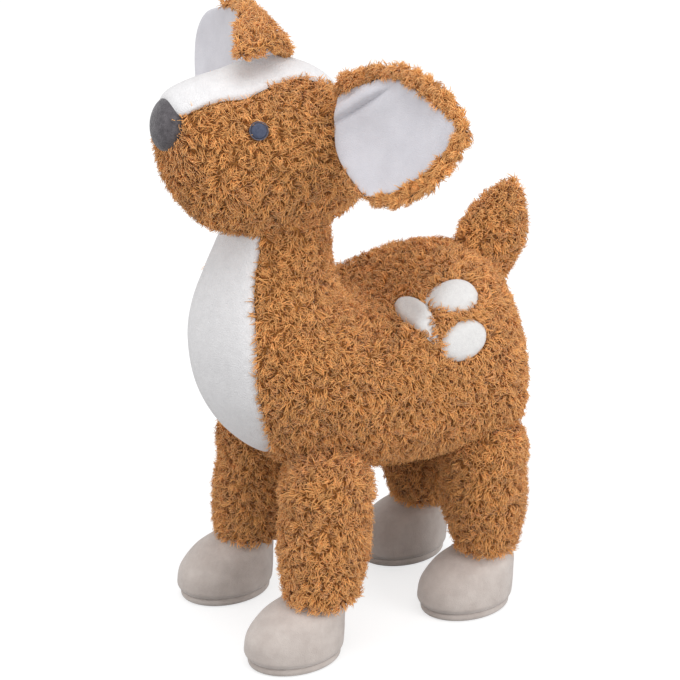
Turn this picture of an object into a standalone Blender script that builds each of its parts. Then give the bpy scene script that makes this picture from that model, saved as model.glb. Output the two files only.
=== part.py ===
"""A standing plush fawn, about 28 cm tall, built the way a soft toy is sewn.

Curly plush covers hold polyester fibre. White panels, spots, eyes and the velour nose lie in
shallow beds in the plush. The limbs, head, ears and tail end in round knots that turn in their seats.
The fawn faces -Y, its left side is +X, it stands on Z = 0 and all sizes are in metres.
"""

import math

import bmesh
import bpy
from mathutils import Matrix, Vector
from mathutils.bvhtree import BVHTree

# Clearance between neighbouring pieces, clearance where a piece moves over its host's skin, overrun of
# the cutters and play beyond a joint's limit
GAP = 0.0003
ROOT_CLEARANCE = 0.0011
OVERRUN = 0.004
PLAY = math.radians(2.5)

# Body
BODY_LENGTH = 0.152
BODY_WIDTH = 0.097
BODY_DEPTH = 0.093
BELLY_HEIGHT = 0.0725
PLUSH_THICKNESS = 0.0045
STUFFING_GAP = 0.0014

# Head, which nods on the round top of the neck
NECK_RADIUS = 0.0243
HEAD_LENGTH = 0.0925
HEAD_WIDTH = 0.0756
HEAD_DEPTH = 0.0735
NOD_LIMIT = math.radians(15)
SEAT_FLARE = math.radians(27)

# Nose and eyes
NOSE_WIDTH = 0.023
NOSE_HEIGHT = 0.0235
NOSE_DEPTH = 0.014
EYE_DIAMETER = 0.0078

# White panels and spots
PANEL_THICKNESS = 0.0017
BED_RISE = 0.0015
SPOT_LENGTH = 0.025
SPOT_WIDTH = 0.0155

# Ears. Each hangs from a round knot, sunk in the head, and turns about the upright seam through it
EAR_LENGTH = 0.068
EAR_WIDTH = 0.0575
EAR_THICKNESS = 0.0042
LINING_THICKNESS = 0.0012
EAR_KNOT_RADIUS = 0.0054
EAR_SINK = 0.0026
EAR_CUP_RADIUS = 0.075
EAR_FOLD_RADIUS = 0.006
EAR_LIMITS = (math.radians(-15), math.radians(20))

# Tail
TAIL_LENGTH = 0.0398
TAIL_WIDTH = 0.035
TAIL_THICKNESS = 0.019
TAIL_KNOT_RADIUS = 0.009
TAIL_LIMITS = (math.radians(-20), math.radians(20))

# Legs: the spacings are between the pivots above and between the ankles below
FRONT_LEG_RADIUS = 0.0212
REAR_LEG_RADIUS = 0.0205
FRONT_ANKLE_RADIUS = 0.0172
REAR_ANKLE_RADIUS = 0.0144
SHOULDER_SPACING = 0.062
FRONT_ANKLE_SPACING = 0.070
HIP_SPACING = 0.058
REAR_ANKLE_SPACING = 0.059
HEM_HEIGHT = 0.0275
SWING_LIMIT = math.radians(15)

# Feet
FOOT_LENGTH = 0.046
FOOT_WIDTH = 0.0355
FOOT_ANKLE_RADIUS = 0.0120
FRONT_BOOT_FORWARD = 0.0030
REAR_BOOT_FORWARD = 0.0
SOLE_THICKNESS = 0.0045
VELOUR_THICKNESS = 0.0016

# Outlines as shares. Body: back y and z, front y and z, half width, from the neck to the rump.
# Y is a share of the body's length from its front, z of its depth from the belly.
BODY_SHARES = (
    (0.401, 1.070, 0.049, 1.070, 0.59),
    (0.444, 0.909, 0.013, 0.887, 0.74),
    (0.539, 0.833, 0.000, 0.704, 0.88),
    (0.632, 0.898, 0.020, 0.489, 0.95),
    (0.727, 0.984, 0.079, 0.306, 0.99),
    (0.816, 1.011, 0.181, 0.151, 1.00),
    (0.895, 0.957, 0.299, 0.048, 1.00),
    (0.954, 0.844, 0.451, 0.011, 0.99),
    (0.988, 0.704, 0.602, 0.000, 0.97),
    (1.000, 0.548, 0.737, 0.011, 0.90),
    (0.993, 0.376, 0.845, 0.054, 0.76),
    (0.974, 0.237, 0.908, 0.108, 0.46),
)
BODY_END_SHARE = (0.947, 0.167)
NECK_PIVOT_SHARE = (0.245, 1.328)

# Head: top y and z, bottom y and z, half width. Y runs from the muzzle, z from the jaw.
HEAD_SHARES = (
    (0.032, 0.844, 0.016, 0.544, 0.23),
    (0.092, 0.912, 0.049, 0.374, 0.40),
    (0.205, 0.946, 0.119, 0.224, 0.57),
    (0.346, 0.969, 0.222, 0.098, 0.75),
    (0.497, 1.000, 0.389, 0.020, 0.91),
    (0.649, 0.993, 0.578, 0.000, 1.00),
    (0.795, 0.918, 0.757, 0.034, 0.98),
    (0.908, 0.782, 0.892, 0.143, 0.82),
    (0.978, 0.639, 0.973, 0.286, 0.53),
)
MUZZLE_SHARE = (0.0, 0.707)
HEAD_BACK_SHARE = (1.0, 0.483)
HEAD_PIVOT_SHARE = (0.582, 0.109)

# How finely the skins, balls and patches are cut
SKIN_SEGMENTS = 24
LIMB_SEGMENTS = 16
KNOT_SEGMENTS = 16
LINER_SEGMENTS = 12
RINGS_PER_STATION = 2
NECK_STATIONS = 6
BALL_RINGS = 7
LINER_BALL_RINGS = 5
PANEL_RINGS = 4
PATCH_RINGS = 2
# The step in which a skin's slope is taken, and how far round a patch its mean is taken
SLOPE_STEP = 0.01
PRESS_REACH_SHARE = 0.2

X_AXIS = Vector((1, 0, 0))
Y_AXIS = Vector((0, 1, 0))
Z_AXIS = Vector((0, 0, 1))


def clear_scene():
    for old in list(bpy.data.objects):
        bpy.data.objects.remove(old)


def cloth(name, colour, roughness):
    """A textile, with its colour and how dull it is."""
    made = bpy.data.materials.new(name)
    made.use_nodes = True
    shader = made.node_tree.nodes["Principled BSDF"]
    shader.inputs["Base Color"].default_value = (*colour, 1)
    shader.inputs["Roughness"].default_value = roughness
    shader.inputs["Metallic"].default_value = 0
    return made


def empty(name, place, parent=None):
    """A joint's pivot, or the whole toy's own origin."""
    made = bpy.data.objects.new(name, None)
    bpy.context.scene.collection.objects.link(made)
    made.location = place
    if parent:
        made.parent = parent
    return made


def solid(name, bm, material, joint):
    """A piece, modelled in place and carried by its joint's pivot."""
    bmesh.ops.recalc_face_normals(bm, faces=bm.faces)
    mesh = bpy.data.meshes.new(name)
    bm.to_mesh(mesh)
    bm.free()
    mesh.shade_smooth()
    mesh.set_sharp_from_angle(angle=math.radians(50))
    made = bpy.data.objects.new(name, mesh)
    bpy.context.scene.collection.objects.link(made)
    if material:
        mesh.materials.append(material)
    made.parent = joint
    bpy.context.view_layer.update()
    made.matrix_parent_inverse = joint.matrix_world.inverted()
    return made


def cutter(name, bm, joint):
    made = solid(name, bm, None, joint)
    made.hide_render = True
    made.display_type = "WIRE"
    return made


def combine(target, other, operation):
    change = target.modifiers.new(f"{operation.lower()} {other.name}", "BOOLEAN")
    change.operation = operation
    change.solver = "EXACT"
    change.object = other


def cut(targets, tool):
    for target in targets:
        combine(target, tool, "DIFFERENCE")


def station(high, low, half_width, x=0):
    """A ring of a stuffed form, from two opposite points (y, z) and its half width."""
    top = Vector((x, *high))
    bottom = Vector((x, *low))
    return (top + bottom) / 2, (top - bottom) / 2, X_AXIS * half_width


def weighted(near, f):
    """Four groups of vectors, blended at a share of the way from the second to the third."""
    weights = (
        (-f + 2 * f**2 - f**3) / 2,
        (2 - 5 * f**2 + 3 * f**3) / 2,
        (f + 4 * f**2 - 3 * f**3) / 2,
        (f**3 - f**2) / 2,
    )
    blended = []
    for group in zip(*near):
        total = group[0] * weights[0]
        for vector, weight in zip(group[1:], weights[1:]):
            total = total + vector * weight
        blended.append(total)
    return tuple(blended)


def between(stations, at):
    """The ring at a place along the stations, on a smooth curve through all of them."""
    last = len(stations) - 1
    i = min(int(at), last - 1)
    return weighted([stations[min(max(i + k, 0), last)] for k in (-1, 0, 1, 2)], at - i)


def smoothed(stations, steps):
    last = len(stations) - 1
    return [between(stations, i / steps) for i in range(last * steps + 1)]


def ball(centre, axis, across, radius, first, last, count):
    """Rings on a ball, from one latitude to another about its axis."""
    side = axis.cross(across)
    rings = []
    for i in range(count):
        latitude = first + (last - first) * i / (count - 1)
        size = radius * math.cos(latitude)
        rings.append((centre + axis * (radius * math.sin(latitude)), across * size, side * size))
    return rings


def on_ring(ring, angle):
    centre, first, second = ring
    return centre + first * math.cos(angle) + second * math.sin(angle)


def skin(rings, segments, inset=0):
    """A closed skin over the rings. A ring of no size closes in a point, any other end is flat."""
    bm = bmesh.new()
    rows = []
    for ring in rings:
        if ring[1].length < GAP:
            rows.append([bm.verts.new(ring[0])])
        else:
            rows.append([bm.verts.new(on_ring(ring, math.tau * j / segments)) for j in range(segments)])
    for one, two in zip(rows, rows[1:]):
        for j in range(segments):
            k = (j + 1) % segments
            corners = [one[j % len(one)], one[k % len(one)], two[k % len(two)], two[j % len(two)]]
            bm.faces.new(list(dict.fromkeys(corners)))
    for row in (rows[0], rows[-1]):
        if len(row) > 1:
            bm.faces.new(row)
    bmesh.ops.recalc_face_normals(bm, faces=bm.faces)
    if inset:
        bm.normal_update()
        moved = [vert.co - vert.normal * inset for vert in bm.verts]
        for vert, place in zip(bm.verts, moved):
            vert.co = place
    return bm


def seat_radius(radius, segments, step):
    """A faceted ball seat whose flats still clear a ball of this radius."""
    return (radius + GAP) / math.cos(math.pi / segments) / math.cos(step / 2)


def knot_seat(centre, radius):
    """A round seat for a knot that leaves its neighbour freely."""
    count = KNOT_SEGMENTS // 2 + 1
    wide = seat_radius(radius, KNOT_SEGMENTS, math.pi / (count - 1))
    return skin(ball(centre, Z_AXIS, X_AXIS, wide, math.pi / 2, -math.pi / 2, count), KNOT_SEGMENTS)


def knot(centre, radius):
    """A round knot."""
    count = KNOT_SEGMENTS // 2 + 1
    return skin(ball(centre, Z_AXIS, X_AXIS, radius, math.pi / 2, -math.pi / 2, count), KNOT_SEGMENTS)


def swing_seat(centre, up, radius, limit, depth):
    """The seat of a limb's ball, flared fore and aft below its middle so that the limb can swing."""
    count = KNOT_SEGMENTS // 4 + 2
    wide = seat_radius(radius, KNOT_SEGMENTS, math.pi / 2 / (count - 1))
    across = X_AXIS.cross(up)
    rings = ball(centre, up, across, wide, math.pi / 2, 0, count)
    long = wide + depth * math.tan(limit + PLAY)
    side = up.cross(across) * wide
    rings.append((centre - up * depth, across * long, side))
    return skin(rings, KNOT_SEGMENTS)


def swept_room(name, form_skin, pivot, axis, limits, joint):
    """Copies of a host's skin, turned over the travel of what turns on it, in the moving piece's view."""
    rooms = []
    low, high = limits[0] - PLAY, limits[1] + PLAY
    for i, limit in enumerate((low, 0, high / 3, high * 2 / 3, high)):
        bm = form_skin()
        turn = Matrix.Translation(pivot) @ Matrix.Rotation(-limit, 4, axis) @ Matrix.Translation(-pivot)
        bmesh.ops.transform(bm, matrix=turn, verts=bm.verts)
        rooms.append(cutter(f"{name}_room_{i}", bm, joint))
    return rooms


class Form:
    """A stuffed form's skin, on which panels, spots and eyes are laid."""

    def __init__(self, stations):
        self.stations = stations

    def point(self, at, angle):
        return on_ring(between(self.stations, at), angle)

    def slopes(self, at, angle):
        step = SLOPE_STEP
        along = (self.point(at + step, angle) - self.point(at - step, angle)) / (2 * step)
        round_it = (self.point(at, angle + step) - self.point(at, angle - step)) / (2 * step)
        return along, round_it

    def normal(self, at, angle):
        along, round_it = self.slopes(at, angle)
        outward = round_it.cross(along).normalized()
        middle = between(self.stations, at)[0]
        return outward if outward.dot(self.point(at, angle) - middle) > 0 else -outward


def pressed_place(rings, form, at, angle, tilt, half_length, half_width, count):
    """Where an oval lies on a form's facets, when it is pressed straight on to them."""
    bm = skin(rings, SKIN_SEGMENTS)
    facets = BVHTree.FromBMesh(bm)
    bm.free()
    centre = form.point(at, angle)
    outward = Vector()
    for i in (-2, 0, 2):
        for k in (-1, 0, 1):
            outward += form.normal(at + i * PRESS_REACH_SHARE, angle + k * PRESS_REACH_SHARE)
    outward.normalize()
    level = Z_AXIS.cross(outward).normalized()
    rise = outward.cross(level)
    east = level * math.cos(tilt) + rise * math.sin(tilt)
    north = rise * math.cos(tilt) - level * math.sin(tilt)

    def place(margin, share, j):
        turn = math.tau * j / count
        right = east * (share * (half_length + margin) * math.cos(turn))
        up = north * (share * (half_width + margin) * math.sin(turn))
        hit = facets.ray_cast(centre + right + up + outward * OVERRUN, -outward)[0]
        return hit, outward

    return place


def closed_curve(points, at):
    """A smooth closed curve through the points; at counts points."""
    i = math.floor(at)
    near = [(Vector(points[(i + k) % len(points)]),) for k in (-1, 0, 1, 2)]
    return weighted(near, at - i)[0]


def panel_place(form, middle, half_outline, count, side_angle):
    """Where a panel lies on a form: a mirrored outline of stations and angles, round a middle station."""
    back_half = [(at, -angle) for at, angle in reversed(half_outline[1:-1])]
    outline = [*half_outline, *back_half]

    def place(margin, share, j):
        edge = closed_curve(outline, j * len(outline) / count)
        at = middle + (edge.x - middle) * share
        angle = side_angle + edge.y * share
        point = form.point(at, angle)
        out = form.normal(at, angle)
        if margin and share:
            away = point - form.point(middle, side_angle)
            away = away - out * away.dot(out)
            point = point + away.normalized() * (margin * share)
        return point, out

    return place


def rows_of(place, outline, rings):
    """Places with their outward directions: one in the middle, then rings out to the outline."""
    rows = [[place(0, 0)]]
    for i in range(1, rings + 1):
        rows.append([place(i / rings, j) for j in range(outline)])
    return rows


def sheet(rows, low, high):
    """A closed sheet over rows of places, between two heights for each share of the way out."""
    bm = bmesh.new()
    rims = []
    last = len(rows) - 1
    for height in (low, high):
        grid = []
        for i, row in enumerate(rows):
            grid.append([bm.verts.new(point + out * height(i / last)) for point, out in row])
        count = len(grid[-1])
        for one, two in zip(grid, grid[1:]):
            for j in range(count):
                k = (j + 1) % count
                bm.faces.new((one[j % len(one)], two[j], two[k]))
                if len(one) > 1:
                    bm.faces.new((one[j], two[k], one[k]))
        rims.append(grid[-1])
    for j in range(count):
        k = (j + 1) % count
        bm.faces.new((rims[0][j], rims[0][k], rims[1][k], rims[1][j]))
    return bm


def patch_and_bed(name, place, outline, rings, material, joint, host, crown=0, rise=BED_RISE):
    """A sewn patch, flush in a bed that is cut in the plush under it.

    place takes a margin first, by which the bed is wider than the patch.
    """
    wide = rows_of(lambda share, j: place(GAP, share, j), outline, rings)
    bed = sheet(wide, lambda share: -PANEL_THICKNESS - GAP, lambda share: rise)
    cut([host], cutter(f"{name}_bed", bed, joint))
    rows = rows_of(lambda share, j: place(0, share, j), outline, rings)
    patch = sheet(rows, lambda share: -PANEL_THICKNESS, lambda share: crown * (1 - share**2))
    return solid(name, patch, material, joint)


clear_scene()
TOY = empty("fawn", Vector())

PLUSH = cloth("caramel curly plush", (0.47, 0.21, 0.07), 0.95)
WHITE_PLUSH = cloth("white short plush", (0.80, 0.80, 0.83), 0.95)
LINING_VELOUR = cloth("pale ear velour", (0.72, 0.71, 0.77), 0.9)
SPOT_VELOUR = cloth("white spot velour", (0.80, 0.80, 0.82), 0.9)
NOSE_VELOUR = cloth("grey nose velour", (0.10, 0.10, 0.12), 0.9)
EYE_THREAD = cloth("slate eye thread", (0.07, 0.09, 0.15), 0.6)
FOOT_VELOUR = cloth("taupe foot velour", (0.48, 0.43, 0.41), 0.9)
FIBRE = cloth("polyester fibre", (0.90, 0.90, 0.88), 1.0)

# Body: a plush cover round its stuffing, with the neck's round top for the head


def body_place(y_share, z_share):
    return (y_share - 0.5) * BODY_LENGTH, BELLY_HEIGHT + z_share * BODY_DEPTH


neck_pivot = Vector((0, *body_place(*NECK_PIVOT_SHARE)))
neck_dip = NOD_LIMIT + PLAY
neck_top = ball(neck_pivot, Z_AXIS, Y_AXIS, NECK_RADIUS, math.pi / 2, -neck_dip, BALL_RINGS)
# The cross product of Z and Y points to -X, so the ring's second half is turned to +X.
neck_top = [(centre, first, -second) for centre, first, second in neck_top]
body_stations = neck_top[-2:]
for back_y, back_z, front_y, front_z, half in BODY_SHARES:
    high = body_place(back_y, back_z)
    low = body_place(front_y, front_z)
    body_stations.append(station(high, low, half * BODY_WIDTH / 2))
body_stations.append(station(body_place(*BODY_END_SHARE), body_place(*BODY_END_SHARE), 0))
places = [i / 2 for i in range(2 * NECK_STATIONS)] + list(range(NECK_STATIONS, len(body_stations)))
body_rings = neck_top[:-2] + [between(body_stations, at) for at in places]
body_form = Form(body_stations)
torso = solid("torso_cover", skin(body_rings, SKIN_SEGMENTS), PLUSH, TOY)
liner_rings = neck_top[:: BALL_RINGS // 2] + body_stations[2:]
torso_liner = cutter("torso_liner", skin(liner_rings, LINER_SEGMENTS, PLUSH_THICKNESS), TOY)
cut([torso], torso_liner)
torso_filling = solid(
    "torso_filling", skin(liner_rings, LINER_SEGMENTS, PLUSH_THICKNESS + STUFFING_GAP), FIBRE, TOY
)

# Chest panel: down the front, from under the chin to a tip between the front legs.
# One half of its outline, as stations of the body and angles from the front
CHEST_SHARES = (
    (0.93, 0.00),
    (0.93, 0.40),
    (0.96, 0.73),
    (1.20, 0.79),
    (1.62, 0.80),
    (2.25, 0.83),
    (3.25, 0.86),
    (4.60, 0.74),
    (5.46, 0.65),
    (6.32, 0.47),
    (6.90, 0.24),
    (7.10, 0.00),
)
CHEST_MIDDLE_SHARE = 3.8
CHEST_POINTS = 26

on_chest = panel_place(body_form, CHEST_MIDDLE_SHARE, CHEST_SHARES, CHEST_POINTS, math.pi)
chest = patch_and_bed("chest_panel", on_chest, CHEST_POINTS, PANEL_RINGS, WHITE_PLUSH, TOY, torso)

# Spots: three ovals on each flank. At is a place along the body's stations, angle runs from the back.
SPOT_SHARES = (
    (5.22, 0.80, -0.50),
    (6.62, 0.72, 0.00),
    (7.75, 1.13, 0.10),
)
SPOT_POINTS = 14

for side, side_name in ((1, "left"), (-1, "right")):
    for number, (at, angle, tilt) in enumerate(SPOT_SHARES, 1):
        pose = (at, angle * side, tilt * side)
        on_spot = pressed_place(body_rings, body_form, *pose, SPOT_LENGTH / 2, SPOT_WIDTH / 2, SPOT_POINTS)
        name = f"spot_{side_name}_{number}"
        crown = LINING_THICKNESS / 2
        patch_and_bed(name, on_spot, SPOT_POINTS, PATCH_RINGS, SPOT_VELOUR, TOY, torso, crown, OVERRUN)

# Head: a sewn egg with its seat for the neck
head_joint = empty("head_joint", neck_pivot, TOY)


def head_place(y_share, z_share):
    y = neck_pivot.y + (y_share - HEAD_PIVOT_SHARE[0]) * HEAD_LENGTH
    return y, neck_pivot.z + (z_share - HEAD_PIVOT_SHARE[1]) * HEAD_DEPTH


head_stations = [station(head_place(*MUZZLE_SHARE), head_place(*MUZZLE_SHARE), 0)]
for top_y, top_z, low_y, low_z, half in HEAD_SHARES:
    high = head_place(top_y, top_z)
    low = head_place(low_y, low_z)
    head_stations.append(station(high, low, half * HEAD_WIDTH / 2))
head_stations.append(station(head_place(*HEAD_BACK_SHARE), head_place(*HEAD_BACK_SHARE), 0))
head_form = Form(head_stations)
head_rings = smoothed(head_stations, RINGS_PER_STATION)
head = solid("head_cover", skin(head_rings, SKIN_SEGMENTS), PLUSH, head_joint)
head_liner = cutter("head_liner", skin(head_stations, LINER_SEGMENTS, PLUSH_THICKNESS), head_joint)
cut([head], head_liner)
head_filling = solid(
    "head_filling", skin(head_stations, LINER_SEGMENTS, PLUSH_THICKNESS + STUFFING_GAP), FIBRE, head_joint
)
# The seat opens wider than the nod alone needs, for the chest swells forward under the chin
neck_seat = swing_seat(neck_pivot, Z_AXIS, NECK_RADIUS, SEAT_FLARE, NECK_RADIUS)
cut([head, head_filling], cutter("neck_seat", neck_seat, head_joint))

# Blaze: a white panel over the muzzle and forehead, from the nose to between the ears.
# One half of its outline, as stations of the head and angles from the top
BLAZE_SHARES = (
    (1.15, 0.00),
    (1.20, 0.55),
    (1.50, 0.84),
    (1.95, 0.86),
    (2.84, 0.68),
    (3.51, 0.61),
    (4.08, 0.61),
    (4.62, 0.54),
    (5.24, 0.45),
    (5.93, 0.40),
    (6.48, 0.41),
    (7.07, 0.37),
    (7.60, 0.26),
    (7.85, 0.00),
)
BLAZE_MIDDLE_SHARE = 4.4
BLAZE_POINTS = 26

on_blaze = panel_place(head_form, BLAZE_MIDDLE_SHARE, BLAZE_SHARES, BLAZE_POINTS, 0)
blaze = patch_and_bed("blaze", on_blaze, BLAZE_POINTS, PANEL_RINGS, WHITE_PLUSH, head_joint, head)

# Nose: a stuffed velour egg on the front of the muzzle
NOSE_SHARE = (0.060, 0.740)
NOSE_TILT = math.radians(-12)


def nose_egg(margin):
    centre = Vector((0, *head_place(*NOSE_SHARE)))
    bm = bmesh.new()
    bmesh.ops.create_uvsphere(bm, u_segments=LIMB_SEGMENTS, v_segments=LIMB_SEGMENTS // 2, radius=1)
    size = Vector((NOSE_WIDTH, NOSE_DEPTH, NOSE_HEIGHT)) / 2 + Vector((margin, margin, margin))
    shape = Matrix.Translation(centre) @ Matrix.Rotation(NOSE_TILT, 4, "X") @ Matrix.Diagonal((*size, 1))
    bmesh.ops.transform(bm, matrix=shape, verts=bm.verts)
    return bm


solid("nose", nose_egg(0), NOSE_VELOUR, head_joint)
nose_seat = cutter("nose_seat", nose_egg(GAP), head_joint)

# Eyes: small embroidered discs
EYE_SHARE = (4.31, 1.096)
EYE_POINTS = 12

for side, side_name in ((1, "left"), (-1, "right")):
    pose = (EYE_SHARE[0], EYE_SHARE[1] * side, 0)
    on_eye = pressed_place(head_rings, head_form, *pose, EYE_DIAMETER / 2, EYE_DIAMETER / 2, EYE_POINTS)
    name = f"eye_{side_name}"
    crown = LINING_THICKNESS / 2
    patch_and_bed(name, on_eye, EYE_POINTS, PATCH_RINGS, EYE_THREAD, head_joint, head, crown, OVERRUN)

cut([head, head_filling, blaze], nose_seat)

# Ears: a plush back and a velour lining, with the upper corner by the head folded forward.
# The flat outline is in shares of the length from the knot and of half the width.
EAR_OUTLINE_SHARES = {
    "left": (
        (-0.03, 0.05),
        (0.00, 0.45),
        (-0.02, 0.80),
        (0.12, 1.04),
        (0.33, 1.04),
        (0.54, 0.95),
        (0.78, 0.68),
        (0.96, 0.30),
        (1.01, -0.03),
        (0.94, -0.34),
        (0.77, -0.66),
        (0.54, -0.88),
        (0.32, -0.93),
        (0.14, -0.66),
        (0.03, -0.30),
    ),
    "right": (
        (-0.03, 0.05),
        (-0.14, 0.50),
        (-0.28, 0.90),
        (-0.42, 1.22),
        (-0.58, 1.70),
        (-0.58, 2.26),
        (-0.40, 2.08),
        (-0.22, 1.87),
        (-0.04, 1.62),
        (0.20, 1.31),
        (0.44, 1.05),
        (0.66, 0.80),
        (0.84, 0.54),
        (0.97, 0.22),
        (1.01, -0.05),
        (0.94, -0.34),
        (0.77, -0.66),
        (0.54, -0.88),
        (0.32, -0.93),
        (0.14, -0.66),
        (0.03, -0.30),
    ),
}
EAR_MIDDLE_SHARE = (0.45, 0.0)
EAR_POINTS = 30
EAR_RINGS = 6
EAR_EDGE_SHARE = 0.35
EAR_ROOT_SHARE = (6.3, 1.22)
FOLD_SHARES = {"left": ((0.02, 0.28), (0.42, 0.88)), "right": ((-0.38, 1.16), (0.46, 1.03))}
FOLD_ANGLE = {"left": math.radians(85), "right": math.radians(105)}
# The fold opens out along the crease, from this multiple of its angle by this much over the crease
FOLD_FADE_SHARES = (1.2, 0.7)
EAR_LIFT = {"left": math.radians(9), "right": math.radians(12)}
EAR_SWEEP = {"left": math.radians(23), "right": math.radians(5)}
EAR_ROLL = {"left": math.radians(-20), "right": math.radians(-14)}


def folded(u, v, fold, fold_angle):
    """The ear's flat place after its upper corner is rolled forward: along it, up it and forward."""
    start, end = (Vector((far * EAR_LENGTH, high * EAR_WIDTH / 2)) for far, high in fold)
    crease = (end - start).normalized()
    across = Vector((-crease.y, crease.x))
    flat = Vector((u, v)) - start
    beyond = flat.dot(across)
    if beyond <= 0:
        return Vector((u, v, v**2 / EAR_CUP_RADIUS / 2))
    whole, fade = FOLD_FADE_SHARES
    angle = fold_angle * max(0, min(1, whole - fade * flat.dot(crease) / (end - start).length))
    turned = min(beyond, EAR_FOLD_RADIUS * angle)
    turn = turned / EAR_FOLD_RADIUS
    rest = beyond - turned
    out = EAR_FOLD_RADIUS * math.sin(turn) + rest * math.cos(turn)
    forward = EAR_FOLD_RADIUS * (1 - math.cos(turn)) + rest * math.sin(turn)
    place = start + crease * flat.dot(crease) + across * out
    return Vector((place.x, place.y, place.y**2 / EAR_CUP_RADIUS / 2 + forward))


def ear_axes(side, side_name):
    """The ear's own directions: along it, up across it and forward out of its lining."""
    sweep, lift, roll = EAR_SWEEP[side_name], EAR_LIFT[side_name], EAR_ROLL[side_name]
    level = Vector((side * math.cos(sweep), math.sin(sweep), 0))
    along = level * math.cos(lift) + Z_AXIS * math.sin(lift)
    forward = (-Y_AXIS + along * along.y).normalized()
    up = (along.cross(forward) * -side).normalized()
    turned_up = up * math.cos(roll) + forward * math.sin(roll)
    return along, turned_up, forward * math.cos(roll) - up * math.sin(roll)


def ear_height(share):
    """The plush's thickness, from the middle to the turned edge."""
    return EAR_EDGE_SHARE + (1 - EAR_EDGE_SHARE) * math.sqrt(1 - share**2)


def grown_head():
    return skin(head_rings, SKIN_SEGMENTS, -ROOT_CLEARANCE)


for side, side_name in ((1, "left"), (-1, "right")):
    root_at, root_angle = EAR_ROOT_SHARE
    out = head_form.normal(root_at, side * root_angle)
    root = head_form.point(root_at, side * root_angle) - out * EAR_SINK
    axes = ear_axes(side, side_name)
    ear_joint = empty(f"ear_{side_name}_joint", root - neck_pivot, head_joint)

    base = root + axes[2] * (EAR_THICKNESS / 2)
    outline = EAR_OUTLINE_SHARES[side_name]

    def in_space(u, v, base=base, axes=axes, fold=FOLD_SHARES[side_name], fold_angle=FOLD_ANGLE[side_name]):
        bent = folded(u, v, fold, fold_angle)
        return base + axes[0] * bent.x + axes[1] * bent.y + axes[2] * bent.z

    def on_ear(share, j, side=side, in_space=in_space, outline=outline):
        edge = closed_curve(outline, j * len(outline) / EAR_POINTS)
        flat = Vector(EAR_MIDDLE_SHARE).lerp(edge, share)
        u = flat.x * EAR_LENGTH
        v = flat.y * EAR_WIDTH / 2
        along = in_space(u + GAP, v) - in_space(u - GAP, v)
        up = in_space(u, v + GAP) - in_space(u, v - GAP)
        return in_space(u, v), (along.cross(up) * side).normalized()

    leaf = rows_of(on_ear, EAR_POINTS, EAR_RINGS)
    back = sheet(leaf, lambda share: -EAR_THICKNESS * ear_height(share), lambda share: 0)
    ear_back = solid(f"ear_back_{side_name}", back, PLUSH, ear_joint)

    # The lining ends short of the plush edge, and a copy of the back leaves a clearance under it
    lining = sheet(
        leaf[:-1],
        lambda share: -LINING_THICKNESS,
        lambda share: GAP + LINING_THICKNESS * ear_height(share),
    )
    ear_lining = solid(f"ear_lining_{side_name}", lining, LINING_VELOUR, ear_joint)
    under = sheet(leaf, lambda share: -EAR_THICKNESS, lambda share: GAP)
    cut([ear_lining], cutter(f"ear_lining_bed_{side_name}", under, ear_joint))

    # Both stay clear of the head as they flap, and the back ends in the knot
    name = f"ear_{side_name}"
    for room in swept_room(name, grown_head, root, axes[1] * -side, EAR_LIMITS, head_joint):
        cut([ear_back, ear_lining], room)
    ear_knot = cutter(f"ear_knot_{side_name}", knot(root, EAR_KNOT_RADIUS), ear_joint)
    combine(ear_back, ear_knot, "UNION")
    ear_seat = cutter(f"ear_seat_{side_name}", knot_seat(root, EAR_KNOT_RADIUS), ear_joint)
    cut([head, head_filling, ear_lining], ear_seat)

# Tail: a plump leaf, flat from side to side, sewn upright into the seam of the back
TAIL_ROOT_SHARE = (0.923, 0.892)
TAIL_LEAN = math.radians(24)
TAIL_MOUTH_SHARE = 0.5
# Direction of the back's seam, about which the tail wags
TAIL_SEAM_SHARE = (0.68, -0.73)
# Height over the knot's middle, half width fore and aft and half thickness, in shares of the tail's sizes
TAIL_SHARES = (
    (-0.14, 0.80, 0.92),
    (0.08, 0.92, 0.97),
    (0.33, 1.00, 1.00),
    (0.52, 0.86, 0.96),
    (0.72, 0.60, 0.80),
    (0.89, 0.30, 0.50),
)

tail_root = Vector((0, *body_place(*TAIL_ROOT_SHARE)))
tail_up = Vector((0, math.sin(TAIL_LEAN), math.cos(TAIL_LEAN)))
tail_back = Vector((0, math.cos(TAIL_LEAN), -math.sin(TAIL_LEAN)))
tail_seam = Vector((0, *TAIL_SEAM_SHARE)).normalized()
tail_joint = empty("tail_joint", tail_root, TOY)
tail_leaf = []
for far, wide, thick in TAIL_SHARES:
    centre = tail_root + tail_up * (far * TAIL_LENGTH)
    tail_leaf.append((centre, tail_back * (wide * TAIL_WIDTH / 2), X_AXIS * (-thick * TAIL_THICKNESS / 2)))
tail_leaf.append((tail_root + tail_up * TAIL_LENGTH, Vector(), Vector()))
tail = solid("tail_cover", skin(smoothed(tail_leaf, RINGS_PER_STATION), LIMB_SEGMENTS), PLUSH, tail_joint)


def grown_body():
    return skin(body_rings, SKIN_SEGMENTS, -ROOT_CLEARANCE)


for room in swept_room("tail", grown_body, tail_root, tail_seam, TAIL_LIMITS, TOY):
    cut([tail], room)
combine(tail, cutter("tail_knot", knot(tail_root, TAIL_KNOT_RADIUS), tail_joint), "UNION")


def shrunk(ring, by):
    """A ring drawn in by a wall's thickness."""
    centre, first, second = ring
    return centre, first * max(0, 1 - by / first.length), second * max(0, 1 - by / second.length)


def lining_rings(rings, wall):
    """The rings of a hollow with this wall, for rings that end open at the start and in a point."""
    wide_enough = [ring for ring in rings[:-1] if min(ring[1].length, ring[2].length) > wall + GAP]
    inner = [shrunk(ring, wall) for ring in wide_enough]
    tip, last = rings[-1][0], inner[-1][0]
    return inner + [(tip + (last - tip).normalized() * wall, Vector(), Vector())]


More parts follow.
